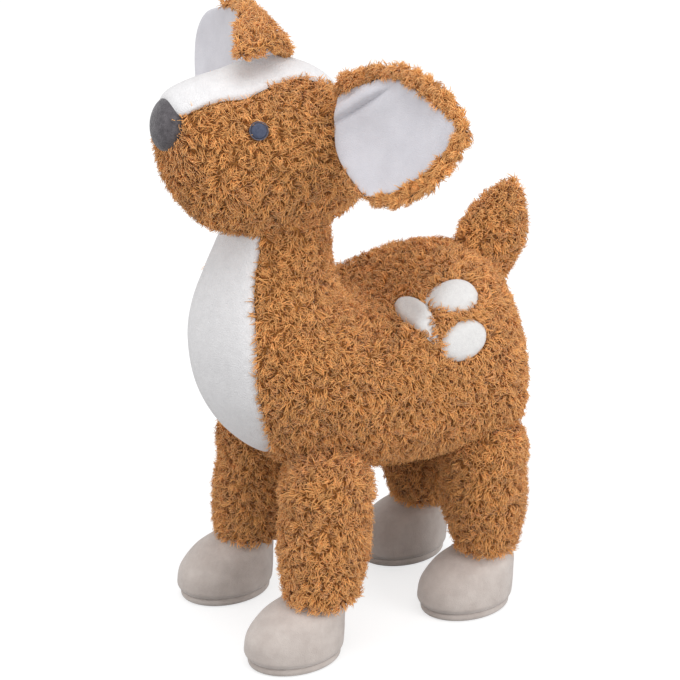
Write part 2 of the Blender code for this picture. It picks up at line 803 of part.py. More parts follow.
mouth = TAIL_MOUTH_SHARE * TAIL_KNOT_RADIUS + PLUSH_THICKNESS
tail_hollow = []
for low in (-TAIL_KNOT_RADIUS - OVERRUN, -TAIL_KNOT_RADIUS + PLUSH_THICKNESS, 0):
    tail_hollow.append((tail_root + tail_up * low, tail_back * mouth, -X_AXIS * mouth))
tail_liner = skin(lining_rings([*tail_hollow, *tail_leaf[2:]], PLUSH_THICKNESS), LINER_SEGMENTS)
cut([tail], cutter("tail_liner", tail_liner, tail_joint))
stuffing_rings = lining_rings([*tail_hollow[1:], *tail_leaf[2:]], PLUSH_THICKNESS + STUFFING_GAP)
solid("tail_filling", skin(stuffing_rings, LINER_SEGMENTS), FIBRE, tail_joint)
cut([torso, torso_filling], cutter("tail_seat", knot_seat(tail_root, TAIL_KNOT_RADIUS), TOY))

# Legs: plush sleeves that end in a round shoulder or hip, with a velour boot and a flat sole.
# Y of the pivot and of the ankle, and height of the pivot, are shares of the body.
LEG_PIVOT_HEIGHT_SHARE = 0.043
FRONT_LEG_SHARE = (0.293, 0.260)
REAR_LEG_SHARE = (0.826, 0.838)
# Height above the hem as a share of the leg, and radius as a share from the ankle's to the leg's
LEG_SHARES = ((0.60, 0.84), (0.33, 0.50), (0.11, 0.06), (0.02, -0.12), (0.0, -0.30))
# Boot: heel y and z, toe y and z, half width. Y from the boot's ankle in foot lengths, z from the sole.
FOOT_SHARES = (
    (0.255, 0.000, -0.700, 0.000, 0.93),
    (0.276, 0.140, -0.724, 0.160, 1.00),
    (0.285, 0.395, -0.690, 0.460, 0.98),
    (0.288, 0.645, -0.550, 0.770, 0.91),
    (0.290, 0.830, -0.390, 0.920, 0.82),
)


def make_leg(name, side, spacings, y_shares, radii, boot_forward):
    radius, ankle_radius = radii
    top_x, x = side * spacings[0] / 2, side * spacings[1] / 2
    pivot_y, pivot_z = body_place(y_shares[0], LEG_PIVOT_HEIGHT_SHARE)
    ankle_y = body_place(y_shares[1], 0)[0]
    pivot = Vector((top_x, pivot_y, pivot_z))
    joint = empty(f"{name}_joint", pivot, TOY)
    seat = swing_seat(pivot, Z_AXIS, radius, SWING_LIMIT, radius)
    cut([torso, torso_filling, chest], cutter(f"{name}_seat", seat, TOY))

    # Sleeve, open at the hem
    top = ball(pivot, Z_AXIS, Y_AXIS, radius, math.pi / 2, -SWING_LIMIT - PLAY, BALL_RINGS)
    limb = [top[-1]]
    start = top[-1][0]
    for up_share, size_share in LEG_SHARES:
        height = HEM_HEIGHT + up_share * (start.z - HEM_HEIGHT)
        level = Vector((x, ankle_y, height)).lerp(Vector((start.x, start.y, height)), up_share)
        size = ankle_radius + size_share * (radius - ankle_radius)
        limb.append((level, Y_AXIS * size, -X_AXIS * size))
    sleeve = solid(f"{name}_cover", skin(top[:-1] + limb, LIMB_SEGMENTS), PLUSH, joint)
    hollow_radius = radius - PLUSH_THICKNESS
    inner = ball(pivot, Z_AXIS, Y_AXIS, hollow_radius, math.pi / 2, -SWING_LIMIT, LINER_BALL_RINGS)
    inner += [shrunk(ring, PLUSH_THICKNESS) for ring in limb[1:-1]]
    hem = inner[-1]
    liner = inner + [(hem[0] - Z_AXIS * OVERRUN, hem[1], hem[2])]
    cut([sleeve], cutter(f"{name}_liner", skin(liner, LINER_SEGMENTS), joint))

    # Boot, open at the ankle and at the sole
    sole_top = SOLE_THICKNESS + GAP
    boot_height = HEM_HEIGHT - 2 * GAP - SOLE_THICKNESS
    boot_y = ankle_y - boot_forward
    boot = []
    for heel_y, heel_z, toe_y, toe_z, half in FOOT_SHARES:
        heel = (boot_y + heel_y * FOOT_LENGTH, sole_top + heel_z * boot_height)
        toe = (boot_y + toe_y * FOOT_LENGTH, sole_top + toe_z * boot_height)
        boot.append(station(heel, toe, half * FOOT_WIDTH / 2, x))
    ankle_centre = Vector((x, boot_y, sole_top + boot_height))
    boot.append((ankle_centre, Y_AXIS * FOOT_ANKLE_RADIUS, X_AXIS * FOOT_ANKLE_RADIUS))
    upper = solid(f"{name}_boot", skin(boot, LIMB_SEGMENTS), FOOT_VELOUR, joint)
    hollow = [shrunk(ring, VELOUR_THICKNESS) for ring in boot]
    under = (hollow[0][0] - Z_AXIS * OVERRUN, hollow[0][1], hollow[0][2])
    over = (hollow[-1][0] + Z_AXIS * OVERRUN, hollow[-1][1], hollow[-1][2])
    cut([upper], cutter(f"{name}_boot_liner", skin([under, *hollow, over], LINER_SEGMENTS), joint))

    # Stuffing, from the shoulder down into the boot
    full_radius = hollow_radius - STUFFING_GAP
    stuffing = ball(pivot, Z_AXIS, Y_AXIS, full_radius, math.pi / 2, -SWING_LIMIT, LINER_BALL_RINGS)
    stuffing += [shrunk(ring, PLUSH_THICKNESS + STUFFING_GAP) for ring in limb[1:-2]]
    waist = hem[1].length - STUFFING_GAP - boot_forward
    for rise in (VELOUR_THICKNESS, 0):
        stuffing.append((ankle_centre + Z_AXIS * rise, Y_AXIS * waist, -X_AXIS * waist))
    for ring in reversed(boot[:-1]):
        centre, first, second = shrunk(ring, VELOUR_THICKNESS + STUFFING_GAP)
        stuffing.append((centre, first, -second))
    solid(f"{name}_filling", skin(stuffing, LINER_SEGMENTS), FIBRE, joint)

    # Sole, a flat oval pad
    bottom = boot[0]
    edge = SOLE_THICKNESS / 4
    pad = []
    for height, draw in ((SOLE_THICKNESS, edge), (SOLE_THICKNESS - edge, 0), (edge, 0), (0, edge)):
        ring = shrunk(bottom, draw)
        pad.append((Vector((ring[0].x, ring[0].y, height)), ring[1], ring[2]))
    solid(f"{name}_sole", skin(pad, LIMB_SEGMENTS), FOOT_VELOUR, joint)


FRONT_SPACINGS = (SHOULDER_SPACING, FRONT_ANKLE_SPACING)
REAR_SPACINGS = (HIP_SPACING, REAR_ANKLE_SPACING)
FRONT_RADII = (FRONT_LEG_RADIUS, FRONT_ANKLE_RADIUS)
REAR_RADII = (REAR_LEG_RADIUS, REAR_ANKLE_RADIUS)

for side, side_name in ((1, "left"), (-1, "right")):
    name = f"leg_front_{side_name}"
    make_leg(name, side, FRONT_SPACINGS, FRONT_LEG_SHARE, FRONT_RADII, FRONT_BOOT_FORWARD)
    name = f"leg_rear_{side_name}"
    make_leg(name, side, REAR_SPACINGS, REAR_LEG_SHARE, REAR_RADII, REAR_BOOT_FORWARD)

# The toy's origin lies under the middle of its whole extent, as shares of the body's length
ORIGIN_SHARE = (0.006, 0.0164)
TOY.location = Vector((*ORIGIN_SHARE, 0)) * BODY_LENGTH
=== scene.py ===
"""A standing plush fawn: curly caramel pile, white panels, a grey nose and velour boots."""

import math

import bmesh
import bpy
import numpy as np
from mathutils import Matrix, Vector
from mathutils.bvhtree import BVHTree


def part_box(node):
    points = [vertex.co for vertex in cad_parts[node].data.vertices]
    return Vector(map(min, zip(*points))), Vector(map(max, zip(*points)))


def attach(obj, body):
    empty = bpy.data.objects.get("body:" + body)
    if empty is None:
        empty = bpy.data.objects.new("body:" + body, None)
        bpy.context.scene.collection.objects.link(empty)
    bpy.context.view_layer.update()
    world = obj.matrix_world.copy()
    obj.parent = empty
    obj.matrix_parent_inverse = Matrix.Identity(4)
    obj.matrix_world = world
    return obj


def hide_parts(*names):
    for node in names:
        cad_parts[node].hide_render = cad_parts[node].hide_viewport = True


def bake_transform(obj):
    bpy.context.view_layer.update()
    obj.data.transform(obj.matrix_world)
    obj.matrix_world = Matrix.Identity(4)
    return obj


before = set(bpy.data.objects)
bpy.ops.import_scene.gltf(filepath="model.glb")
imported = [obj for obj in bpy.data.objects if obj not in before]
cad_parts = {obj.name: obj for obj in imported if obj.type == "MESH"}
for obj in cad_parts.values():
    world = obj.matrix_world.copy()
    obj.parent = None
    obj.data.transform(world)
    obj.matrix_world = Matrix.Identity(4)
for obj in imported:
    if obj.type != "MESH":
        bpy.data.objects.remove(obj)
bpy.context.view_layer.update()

# Body.
# A tube of curly plush on a knitted backing, stuffed with fibre.
# The pile is yarn that lies in short curls all over it.
MIDDLE_X = 0.0009
# One row per ring: back y and z, front y and z, half width
BODY_RINGS = np.array(
    [
        (-0.0120, 0.1962, -0.0606, 0.1962, 0.0243),
        (-0.0131, 0.1887, -0.0594, 0.1887, 0.0235),
        (-0.0125, 0.1720, -0.0660, 0.1720, 0.0285),
        (-0.0080, 0.1590, -0.0715, 0.1550, 0.0360),
        (0.0030, 0.1508, -0.0735, 0.1380, 0.0425),
        (0.0165, 0.1520, -0.0705, 0.1180, 0.0462),
        (0.0370, 0.1640, -0.0615, 0.1010, 0.0480),
        (0.0505, 0.1665, -0.0460, 0.0865, 0.0485),
        (0.0625, 0.1615, -0.0280, 0.0770, 0.0485),
        (0.0715, 0.1510, -0.0050, 0.0735, 0.0482),
        (0.0767, 0.1380, 0.0180, 0.0725, 0.0470),
        (0.0785, 0.1235, 0.0385, 0.0735, 0.0435),
        (0.0775, 0.1075, 0.0550, 0.0775, 0.0370),
        (0.0745, 0.0945, 0.0645, 0.0825, 0.0225),
        (0.0705, 0.0880, 0.0705, 0.0880, 0.0001),
    ]
)
NECK_TURN = Vector((MIDDLE_X, -0.0363, 0.1960))
PILE_DEPTH = 0.0027
CURL_LENGTH = 0.0041
CURL_THICKNESS = 0.00044
CURL_SWING = 0.0004
CURL_SPREAD, CURL_DROOP, CURL_GATHER = 0.6, 0.45, 0.62
CURL_BEND, CURL_TAPER = 1.4, 0.75
CURL_RINGS, CURL_SIDES = 5, 3
CURLS_PER_MM2 = 1.6
TUFT_WIDTH = 0.0026
TUFT_WOBBLE, TUFT_WAVES = 0.25, 900


def stacked(rings, middle_x):
    """Middle, upward half and sideways half of each ring of a form, side by side."""
    high = np.stack([np.full(len(rings), middle_x), rings[:, 0], rings[:, 1]], 1)
    low = np.stack([np.full(len(rings), middle_x), rings[:, 2], rings[:, 3]], 1)
    side = np.zeros_like(high)
    side[:, 0] = rings[:, 4]
    return np.concatenate([(high + low) / 2, (high - low) / 2, side], 1)


def unit(arrows):
    """The same directions, each of length one."""
    return arrows / np.maximum(np.linalg.norm(arrows, axis=-1, keepdims=True), 1e-12)


def blended_rows(near, part):
    """Part of the way from the second of four rows to the third, on a smooth curve through them."""
    weights = (
        (-part + 2 * part**2 - part**3) / 2,
        (2 - 5 * part**2 + 3 * part**3) / 2,
        (part + 4 * part**2 - 3 * part**3) / 2,
        (part**3 - part**2) / 2,
    )
    return sum(weight * rows for weight, rows in zip(weights, near))


def along_form(form, at):
    """The form's ring at places between its rows, on a smooth curve through them."""
    last = len(form) - 1
    at = np.clip(np.asarray(at, float), 0, last)
    row = np.minimum(at.astype(int), last - 1)
    near = [form[np.clip(row + step, 0, last)] for step in (-1, 0, 1, 2)]
    return blended_rows(near, (at - row)[..., None])


def on_form(form, at, angle):
    """Points of a stuffed form's skin. Angles run from its back or top round its left side."""
    ring = along_form(form, at)
    angle = np.asarray(angle, float)[..., None]
    return ring[..., :3] + ring[..., 3:6] * np.cos(angle) + ring[..., 6:] * np.sin(angle)


def out_of_form(form, at, angle):
    """The directions that point straight out of the skin."""
    step = 0.02
    lengthways = on_form(form, at + step, angle) - on_form(form, at - step, angle)
    round_it = on_form(form, at, angle + step) - on_form(form, at, angle - step)
    out = unit(np.cross(round_it, lengthways))
    onward = np.diff(form[:, :3], axis=0)
    return out * np.sign((np.cross(form[:-1, 6:], onward) * form[:-1, 3:6]).sum())


def net_mesh(name, points, faces):
    """A smooth mesh from arrays of points and of four-cornered faces."""
    mesh = bpy.data.meshes.new(name)
    points = np.ascontiguousarray(points, np.float32)
    faces = np.ascontiguousarray(faces, np.int32)
    mesh.vertices.add(len(points))
    mesh.vertices.foreach_set("co", points.ravel())
    mesh.loops.add(faces.size)
    mesh.loops.foreach_set("vertex_index", faces.ravel())
    mesh.polygons.add(len(faces))
    mesh.polygons.foreach_set("loop_start", np.arange(len(faces), dtype=np.int32) * faces.shape[1])
    mesh.update(calc_edges=True)
    mesh.polygons.foreach_set("use_smooth", np.full(len(faces), True))
    return mesh


def placed(name, mesh, material):
    piece = bpy.data.objects.new(name, mesh)
    bpy.context.scene.collection.objects.link(piece)
    mesh.materials.append(material)
    return piece


def grid_faces(rows, columns):
    """Faces of a net of rows by columns, whose last column meets its first."""
    row = np.arange(rows - 1)[:, None]
    column = np.arange(columns)[None, :]
    after = (column + 1) % columns
    corners = (row * columns + column, row * columns + after)
    return np.stack([*corners, corners[1] + columns, corners[0] + columns], -1).reshape(-1, 4)


def cloth_mesh(name, points, faces):
    """A smooth mesh of cloth from lists of points and faces."""
    mesh = bpy.data.meshes.new(name)
    mesh.from_pydata([tuple(point) for point in points], [], faces)
    mesh.shade_smooth()
    return mesh


def disc_places(rings, around):
    """How far out and at which turn a disc's points lie: its middle, then ring after ring."""
    places = [(0.0, 0.0)]
    for ring in range(1, rings + 1):
        places += [(ring / rings, math.tau * step / around) for step in range(around)]
    return places


def disc_faces(rings, around):
    """Faces of a disc whose first point is its middle and whose other points lie in rings round it."""
    faces = [(0, 1 + step, 1 + (step + 1) % around) for step in range(around)]
    for ring in range(rings - 1):
        for step in range(around):
            one = 1 + ring * around + step
            two = 1 + ring * around + (step + 1) % around
            faces.append((one, one + around, two + around, two))
    return faces


def patch_mesh(name, net, rings, around, out):
    """A disc of cloth that faces the way out."""
    mesh = cloth_mesh(name, net, disc_faces(rings, around))
    mesh.update()
    if sum(p.normal.dot(out) for p in mesh.polygons) < 0:
        mesh.flip_normals()
    return mesh


def thread_loop(name, points, radius, material):
    """A closed line of thread."""
    line = bpy.data.curves.new(name, "CURVE")
    line.dimensions = "3D"
    line.bevel_depth = radius
    line.bevel_resolution = 2
    run = line.splines.new("POLY")
    run.points.add(len(points) - 1)
    run.use_cyclic_u = True
    for at, point in zip(run.points, points):
        at.co = (*point, 1)
    piece = bpy.data.objects.new(name, line)
    bpy.context.scene.collection.objects.link(piece)
    line.materials.append(material)
    return piece


def form_skin(name, form, drawn_in, material, steps=6, around=96):
    """The backing cloth of a stuffed form, a little under the tips of its pile."""
    count = (len(form) - 1) * steps + 1
    at = np.linspace(0, len(form) - 1, count)[:, None] * np.ones((1, around))
    angle = np.ones((count, 1)) * np.linspace(0, math.tau, around, endpoint=False)[None, :]
    inside = np.clip(at, 0.02, len(form) - 1.02)
    points = on_form(form, at, angle) - out_of_form(form, inside, angle) * drawn_in
    middle = along_form(form, [0.0, len(form) - 1.0])[:, :3]
    net = points.reshape(-1, 3)
    first = len(net)
    net = np.concatenate([net, middle])
    faces = grid_faces(count, around)
    column = np.arange(around)
    after = (column + 1) % around
    lid = np.stack([np.full(around, first), after, column, column], 1)
    end = (count - 1) * around
    tail = np.stack([np.full(around, first + 1), end + column, end + after, end + after], 1)
    every = [tuple(face) for face in faces]
    every += [tuple(face[:3]) for face in (*lid, *tail)]
    return placed(name, cloth_mesh(name, net, every), material)


def scattered(form, per_mm2, seed, first=0.0, last=None):
    """Even chance places on a form: station, angle, point and outward direction of each."""
    luck = np.random.default_rng(seed)
    last = len(form) - 1.001 if last is None else last
    rows, columns = 260, 240
    at = np.linspace(first, last, rows + 1)
    angle = np.linspace(0, math.tau, columns + 1)
    corners = on_form(form, at[:, None] * np.ones(columns + 1), angle * np.ones((rows + 1, 1)))
    one = corners[1:, :-1] - corners[:-1, :-1]
    two = corners[:-1, 1:] - corners[:-1, :-1]
    area = np.linalg.norm(np.cross(one, two), axis=-1).ravel()
    count = int(area.sum() * 1e6 * per_mm2)
    summed = np.cumsum(area) / area.sum()
    cell = np.searchsorted(summed, (np.arange(count) + luck.random(count)) / count)
    row, column = np.divmod(np.minimum(cell, rows * columns - 1), columns)
    at_here = at[row] + (at[1] - at[0]) * luck.random(count)
    angle_here = angle[column] + (angle[1] - angle[0]) * luck.random(count)
    return at_here, angle_here, on_form(form, at_here, angle_here), out_of_form(form, at_here, angle_here)


def along_skin(arrows, out):
    """What is left of some directions along a skin that faces out."""
    return arrows - out * (arrows * out).sum(1, keepdims=True)


def curls(name, places, out, length, material, seed, lie=0.62, comb=None):
    """Short locks of yarn that lean together in tufts. Each is a thin three-sided tube that bends over."""
    luck = np.random.default_rng(seed)
    count = len(places)
    rings = CURL_RINGS
    share = np.linspace(0, 1, rings)[None, :, None]
    wobble = TUFT_WOBBLE * np.sin(places[:, [1, 2, 0]] * TUFT_WAVES)
    cell = np.floor(places / TUFT_WIDTH + luck.random(3) + wobble).astype(int)
    _, group = np.unique(cell, axis=0, return_inverse=True)
    group = group.ravel()
    members = np.bincount(group)
    middle = np.stack([np.bincount(group, places[:, axis]) for axis in range(3)], 1) / members[:, None]
    leaning = luck.normal(size=(len(members), 3))
    heading = CURL_SPREAD * luck.normal(size=(count, 3)) + leaning[group] + np.array([0, 0, -CURL_DROOP])
    if comb is not None:
        heading = heading + comb
    heading = unit(along_skin(heading, out))
    sideways = np.cross(out, heading)
    gather = along_skin(middle[group] - places, out)
    own_length = length * luck.uniform(0.7, 1.25, count)
    long = (own_length * luck.uniform(0.82, 1.15, len(members))[group])[:, None, None]
    lean = (lie * luck.uniform(0.7, 1.3, count))[:, None, None]
    turns = luck.uniform(0.3, 0.9, count)[:, None, None] * math.tau
    begun = luck.uniform(0, math.tau, count)[:, None, None]
    rise = share * np.cos(lean * share * 1.35)
    reach = share**CURL_BEND * np.sin(lean * 1.25)
    line = places[:, None, :] + long * (out[:, None, :] * rise + heading[:, None, :] * reach)
    line = line + gather[:, None, :] * CURL_GATHER * share**CURL_BEND
    swing = CURL_SWING * luck.uniform(0.7, 1.5, count)[:, None, None] * np.sqrt(share)
    line = line + sideways[:, None, :] * swing * np.sin(turns * share + begun)
    line = line + heading[:, None, :] * swing * np.cos(turns * share + begun)
    run = unit(np.gradient(line, axis=1))
    across = unit(np.cross(run, out[:, None, :] + 0.31 * sideways[:, None, :]))
    other = np.cross(run, across)
    stout = CURL_THICKNESS / 2 * luck.uniform(0.75, 1.25, count)[:, None, None]
    stout = stout * (1 - CURL_TAPER * share**2.5)
    sides = []
    for side in range(CURL_SIDES):
        turn = math.tau * side / CURL_SIDES
        sides.append(line + stout * (across * math.cos(turn) + other * math.sin(turn)))
    points = np.stack(sides, 2).reshape(-1, 3)
    one = grid_faces(rings, CURL_SIDES)
    faces = (one + (np.arange(count) * rings * CURL_SIDES)[:, None, None]).reshape(-1, 4)
    mesh = net_mesh(name, points, faces)
    shade = luck.random(len(members))[group] * 0.93 + luck.random(count) * 0.012
    ring, side = np.divmod(np.arange(len(one)), CURL_SIDES)
    span = np.stack([side, side + 1, side + 1, side], -1) * 0.002
    climb = np.stack([ring, ring, ring + 1, ring + 1], -1) / (rings - 1)
    u = (span.reshape(1, -1) + shade[:, None]).reshape(-1)
    v = np.broadcast_to(climb.reshape(1, -1) * 0.98 + 0.01, (count, climb.size)).reshape(-1)
    layer = mesh.uv_layers.new(name="OFBake")
    layer.data.foreach_set("uv", np.stack([u, v], 1).astype(np.float32).ravel())
    return placed(name, mesh, material)


def combed(places, middle, near, strength):
    """The pull that combs locks away from a place that they would fall over."""
    away = places - np.array(middle)
    gap = np.linalg.norm(away, axis=1, keepdims=True)
    return away / np.maximum(gap, 1e-9) * np.clip(2 - gap / near, 0, 1) * strength


def fill_in(node, values):
    for name, value in values.items():
        node.inputs[name].default_value = value


def finish(name, dull, shine, sheen, sheen_dull):
    """A new material with its gloss set, and its nodes, links and shader."""
    made = bpy.data.materials.new(name)
    made.use_nodes = True
    nodes, links = made.node_tree.nodes, made.node_tree.links
    shader = nodes["Principled BSDF"]
    fill_in(shader, {"Roughness": dull, "Specular IOR Level": shine})
    fill_in(shader, {"Sheen Weight": sheen, "Sheen Roughness": sheen_dull})
    return made, nodes, links, shader


def yarn(name, root, middle, tip, dull, sheen):
    """Finish of curled yarn: painted shade at its foot, a painted highlight at its tip, and different from
    tuft to tuft.
    """
    made, nodes, links, shader = finish(name, dull, 0.25, sheen, 0.5)
    place = nodes.new("ShaderNodeUVMap")
    place.uv_map = "OFBake"
    split = nodes.new("ShaderNodeSeparateXYZ")
    links.new(place.outputs["UV"], split.inputs[0])
    # Along each curl: painted shade at the foot, the yarn's own colour midway, a painted highlight at the
    # tip
    ramp = nodes.new("ShaderNodeValToRGB")
    ramp.color_ramp.elements[0].color = (*root, 1)
    ramp.color_ramp.elements[1].color = (*tip, 1)
    half = ramp.color_ramp.elements.new(0.45)
    half.color = (*middle, 1)
    links.new(split.outputs["Y"], ramp.inputs["Fac"])
    lot = nodes.new("ShaderNodeTexNoise")
    lot.noise_dimensions = "1D"
    fill_in(lot, {"Scale": 60, "Detail": 1})
    links.new(split.outputs["X"], lot.inputs["W"])
    spread = nodes.new("ShaderNodeMapRange")
    fill_in(spread, {"From Min": 0.3, "From Max": 0.7, "To Min": 0.72, "To Max": 1.22})
    links.new(lot.outputs["Fac"], spread.inputs["Value"])
    tinted = nodes.new("ShaderNodeVectorMath")
    tinted.operation = "SCALE"
    links.new(ramp.outputs["Color"], tinted.inputs[0])
    links.new(spread.outputs["Result"], tinted.inputs["Scale"])
    links.new(tinted.outputs["Vector"], shader.inputs["Base Color"])
    return made


def brushed(name, dark, light, scale, dull, sheen, bump, fine=1800):
    """Finish of a short-napped cloth: brushed paler and darker in places, with a fine nap."""
    made, nodes, links, shader = finish(name, dull, 0.2, sheen, 0.45)
    place = nodes.new("ShaderNodeTexCoord")
    cloud = nodes.new("ShaderNodeTexNoise")
    fill_in(cloud, {"Scale": scale, "Detail": 6, "Roughness": 0.7})
    links.new(place.outputs["Object"], cloud.inputs["Vector"])
    ramp = nodes.new("ShaderNodeValToRGB")
    ramp.color_ramp.elements[0].position = 0.34
    ramp.color_ramp.elements[0].color = (*dark, 1)
    ramp.color_ramp.elements[1].position = 0.66
    ramp.color_ramp.elements[1].color = (*light, 1)
    links.new(cloud.outputs["Fac"], ramp.inputs["Fac"])
    links.new(ramp.outputs["Color"], shader.inputs["Base Color"])
    nap = nodes.new("ShaderNodeTexNoise")
    fill_in(nap, {"Scale": fine, "Detail": 3})
    links.new(place.outputs["Object"], nap.inputs["Vector"])
    raised = nodes.new("ShaderNodeBump")
    fill_in(raised, {"Strength": bump, "Distance": 0.0004})
    links.new(nap.outputs["Fac"], raised.inputs["Height"])
    links.new(raised.outputs["Normal"], shader.inputs["Normal"])
    return made


# The first colour is painted shade at the curls' feet, the last a painted highlight at their tips; the
# middle is the yarn's own caramel
caramel = yarn(
    "caramel curled yarn",
    (0.42, 0.178, 0.042),
    (0.80, 0.355, 0.098),
    (0.97, 0.52, 0.185),
    0.8, 0.3,
)
# The knitted backing is real cloth; its brown, as dark as the curls' painted feet, is painted shade for the
# gaps between tufts
backing = brushed("brown knitted backing", (0.42, 0.18, 0.045), (0.56, 0.25, 0.07), 500, 0.95, 0.1, 0.6)

body_form = stacked(BODY_RINGS, MIDDLE_X)
body_skin = form_skin("body_cover", body_form, PILE_DEPTH, backing)


def tree_of(piece):
    mesh = piece.data
    return BVHTree.FromPolygons([v.co for v in mesh.vertices], [p.vertices for p in mesh.polygons])


def outside_of(tree, points, by):
    """Whether each point is further out of a closed skin than this."""
    free = np.ones(len(points), bool)
    for i, point in enumerate(points):
        hit, normal, _, _ = tree.find_nearest(Vector(point), 0.03)
        if hit is not None:
            free[i] = (Vector(point) - hit).dot(normal) > by
    return free


def smooth_loop(corners, count):
    """A closed smooth line through the corners."""
    corners = np.array(corners, float)
    at = np.arange(count) * len(corners) / count
    row = at.astype(int)
    near = [corners[(row + step) % len(corners)] for step in (-1, 0, 1, 2)]
    return blended_rows(near, (at - row)[:, None])


def within(loop, x, y):
    """Whether points lie inside a closed line."""
    found = np.zeros(len(x), bool)
    x0, y0 = loop[:, 0], loop[:, 1]
    x1, y1 = np.roll(x0, -1), np.roll(y0, -1)
    for ax, ay, bx, by in zip(x0, y0, x1, y1):
        crossing = (ay > y) != (by > y)
        if ay != by:
            found ^= crossing & (x < (bx - ax) * (y - ay) / (by - ay) + ax)
    return found


# Chest panel.
# A long drop of smooth white fleece down the front, from under the chin to between the legs.
# It is sewn into the caramel cover edge to edge, so its edge sinks into the seam and its middle swells.
CHEST_EDGE = (
    (0.60, 0.00), (0.60, 0.40), (0.66, 0.73), (1.10, 0.79), (1.62, 0.80), (2.25, 0.83), (3.25, 0.86),
    (4.60, 0.74), (5.46, 0.65), (6.32, 0.47), (6.90, 0.24), (7.10, 0.00),
)
CHEST_MIDDLE = 3.8
# Share of a panel's outline within which no pile grows
PANEL_SHARE = 0.995


def mirrored_edge(half):
    return [*half, *[(at, -angle) for at, angle in reversed(half[1:-1])]]


def sewn_panel(name, form, middle, edge, facing, material, swell=0.0010, sunk=0.0018, rings=24, around=160):
    """A sewn-in panel: it follows the form, sinks into its seam and swells a little towards the middle."""
    loop = smooth_loop(edge, around)
    share = np.linspace(0, 1, rings + 1)[1:, None]
    at = middle + (loop[None, :, 0] - middle) * share
    angle = facing + loop[None, :, 1] * share
    height = swell * (1 - share**2) - sunk * share**22
    points = on_form(form, at, angle) + out_of_form(form, at, angle) * height[..., None]
    centre = on_form(form, middle, facing) + out_of_form(form, np.array(middle), np.array(facing)) * swell
    net = np.concatenate([points.reshape(-1, 3), centre.reshape(1, 3)])
    faces = [tuple(face) for face in grid_faces(rings, around)]
    hub = len(net) - 1
    faces += [(hub, column, (column + 1) % around) for column in range(around)]
    mesh = cloth_mesh(name, net, faces)
    one_way(mesh)
    turn_outward(mesh, form)
    return placed(name, mesh, material)


def in_panel(edge, middle, at, angle):
    """Whether places on a form lie under a sewn-in panel, all but its rim."""
    loop = smooth_loop(mirrored_edge(edge), 128)
    return within(loop * PANEL_SHARE + [middle * (1 - PANEL_SHARE), 0], at, angle)


def one_way(mesh):
    """Turns all the faces of a cloth to the same side."""
    bm = bmesh.new()
    bm.from_mesh(mesh)
    bmesh.ops.recalc_face_normals(bm, faces=bm.faces)
    bm.to_mesh(mesh)
    bm.free()


def turn_outward(mesh, form):
    """Faces the cloth away from the middle of the form that it lies on."""
    middle = Vector(form[:, :3].mean(0))
    score = sum((p.center - middle).dot(p.normal) * p.area for p in mesh.polygons)
    if score < 0:
        mesh.flip_normals()


white_fleece = brushed(
    "white short fleece",
    (0.735, 0.725, 0.735),
    (0.80, 0.79, 0.80),
    260, 0.95, 0.3, 0.9, 1500,
)

chest = sewn_panel("chest_cloth", body_form, CHEST_MIDDLE, mirrored_edge(CHEST_EDGE), math.pi, white_fleece)
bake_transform(chest)
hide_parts("chest_panel")

# Spots.
# Three ovals of white velour on each flank, stitched down round the edge, so that each is slightly domed.
SPOT_HALF_LENGTH = 0.0132
SPOT_HALF_WIDTH = 0.0084
SPOT_SWELL, SPOT_SUNK, SPOT_OVERLAP = 0.0005, 0.0022, 0.0004
# Station, angle, tilt and shares of the full length and width of each. The right ones are set lower,
# clear of the back line.
SPOTS = {
    "left": ((5.36, 0.64, -0.26, 1.22, 0.74), (6.62, 0.72, 0.0, 1.0, 1.0), (7.75, 1.13, 0.10, 1.0, 1.0)),
    "right": ((5.18, 0.90, 0.10, 1.1, 0.74), (6.74, 0.98, 0.25, 0.95, 0.9), (7.75, 1.20, 0.10, 1.0, 1.0)),
}
spot_velour = brushed(
    "white spot velour",
    (0.65, 0.64, 0.635),
    (0.725, 0.715, 0.705),
    500, 0.9, 0.5, 0.5, 2400,
)
spot_frames = []


def patch_frame(form, at, angle, tilt):
    """Middle of a patch, and the directions along it, across it and out of it."""
    middle = Vector(on_form(form, np.array(at), np.array(angle)))
    near_at, near_angle = np.meshgrid([at - 0.4, at, at + 0.4], [angle - 0.2, angle, angle + 0.2])
    out = Vector(out_of_form(form, near_at, near_angle).reshape(-1, 3).sum(0)).normalized()
    level = Vector((0, 0, 1)).cross(out).normalized()
    rise = out.cross(level)
    east = level * math.cos(tilt) + rise * math.sin(tilt)
    north = rise * math.cos(tilt) - level * math.sin(tilt)
    return middle, east, north, out


def oval_patch(name, set_in, half_long, half_wide, tree, material, swell, sunk, rings=10, around=56):
    """An oval of cloth laid on a skin: slightly domed, its edge sunk among the pile."""
    middle, east, north, out = set_in
    net = []
    for share, turn in disc_places(rings, around):
        aside = east * (half_long * share * math.cos(turn)) + north * (half_wide * share * math.sin(turn))
        hit = tree.ray_cast(middle + aside + out * 0.03, -out)[0]
        if hit is None:
            hit = middle + aside
        net.append(hit + out * (PILE_DEPTH + swell * (1 - share**3) - sunk * share**8))
    return placed(name, patch_mesh(name, net, rings, around, out), material)


body_tree = tree_of(body_skin)
for side, side_name in ((1, "left"), (-1, "right")):
    for number, (at, angle, tilt, long_share, wide_share) in enumerate(SPOTS[side_name], 1):
        set_in = patch_frame(body_form, at, angle * side, tilt * side)
        half_long = SPOT_HALF_LENGTH * long_share
        half_wide = SPOT_HALF_WIDTH * wide_share
        spot_frames.append((set_in, half_long, half_wide))
        name = f"spot_{side_name}_{number}_cloth"
        spot = oval_patch(name, set_in, half_long, half_wide, body_tree, spot_velour, SPOT_SWELL, SPOT_SUNK)
        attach(spot, "torso")
        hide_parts(f"spot_{side_name}_{number}")


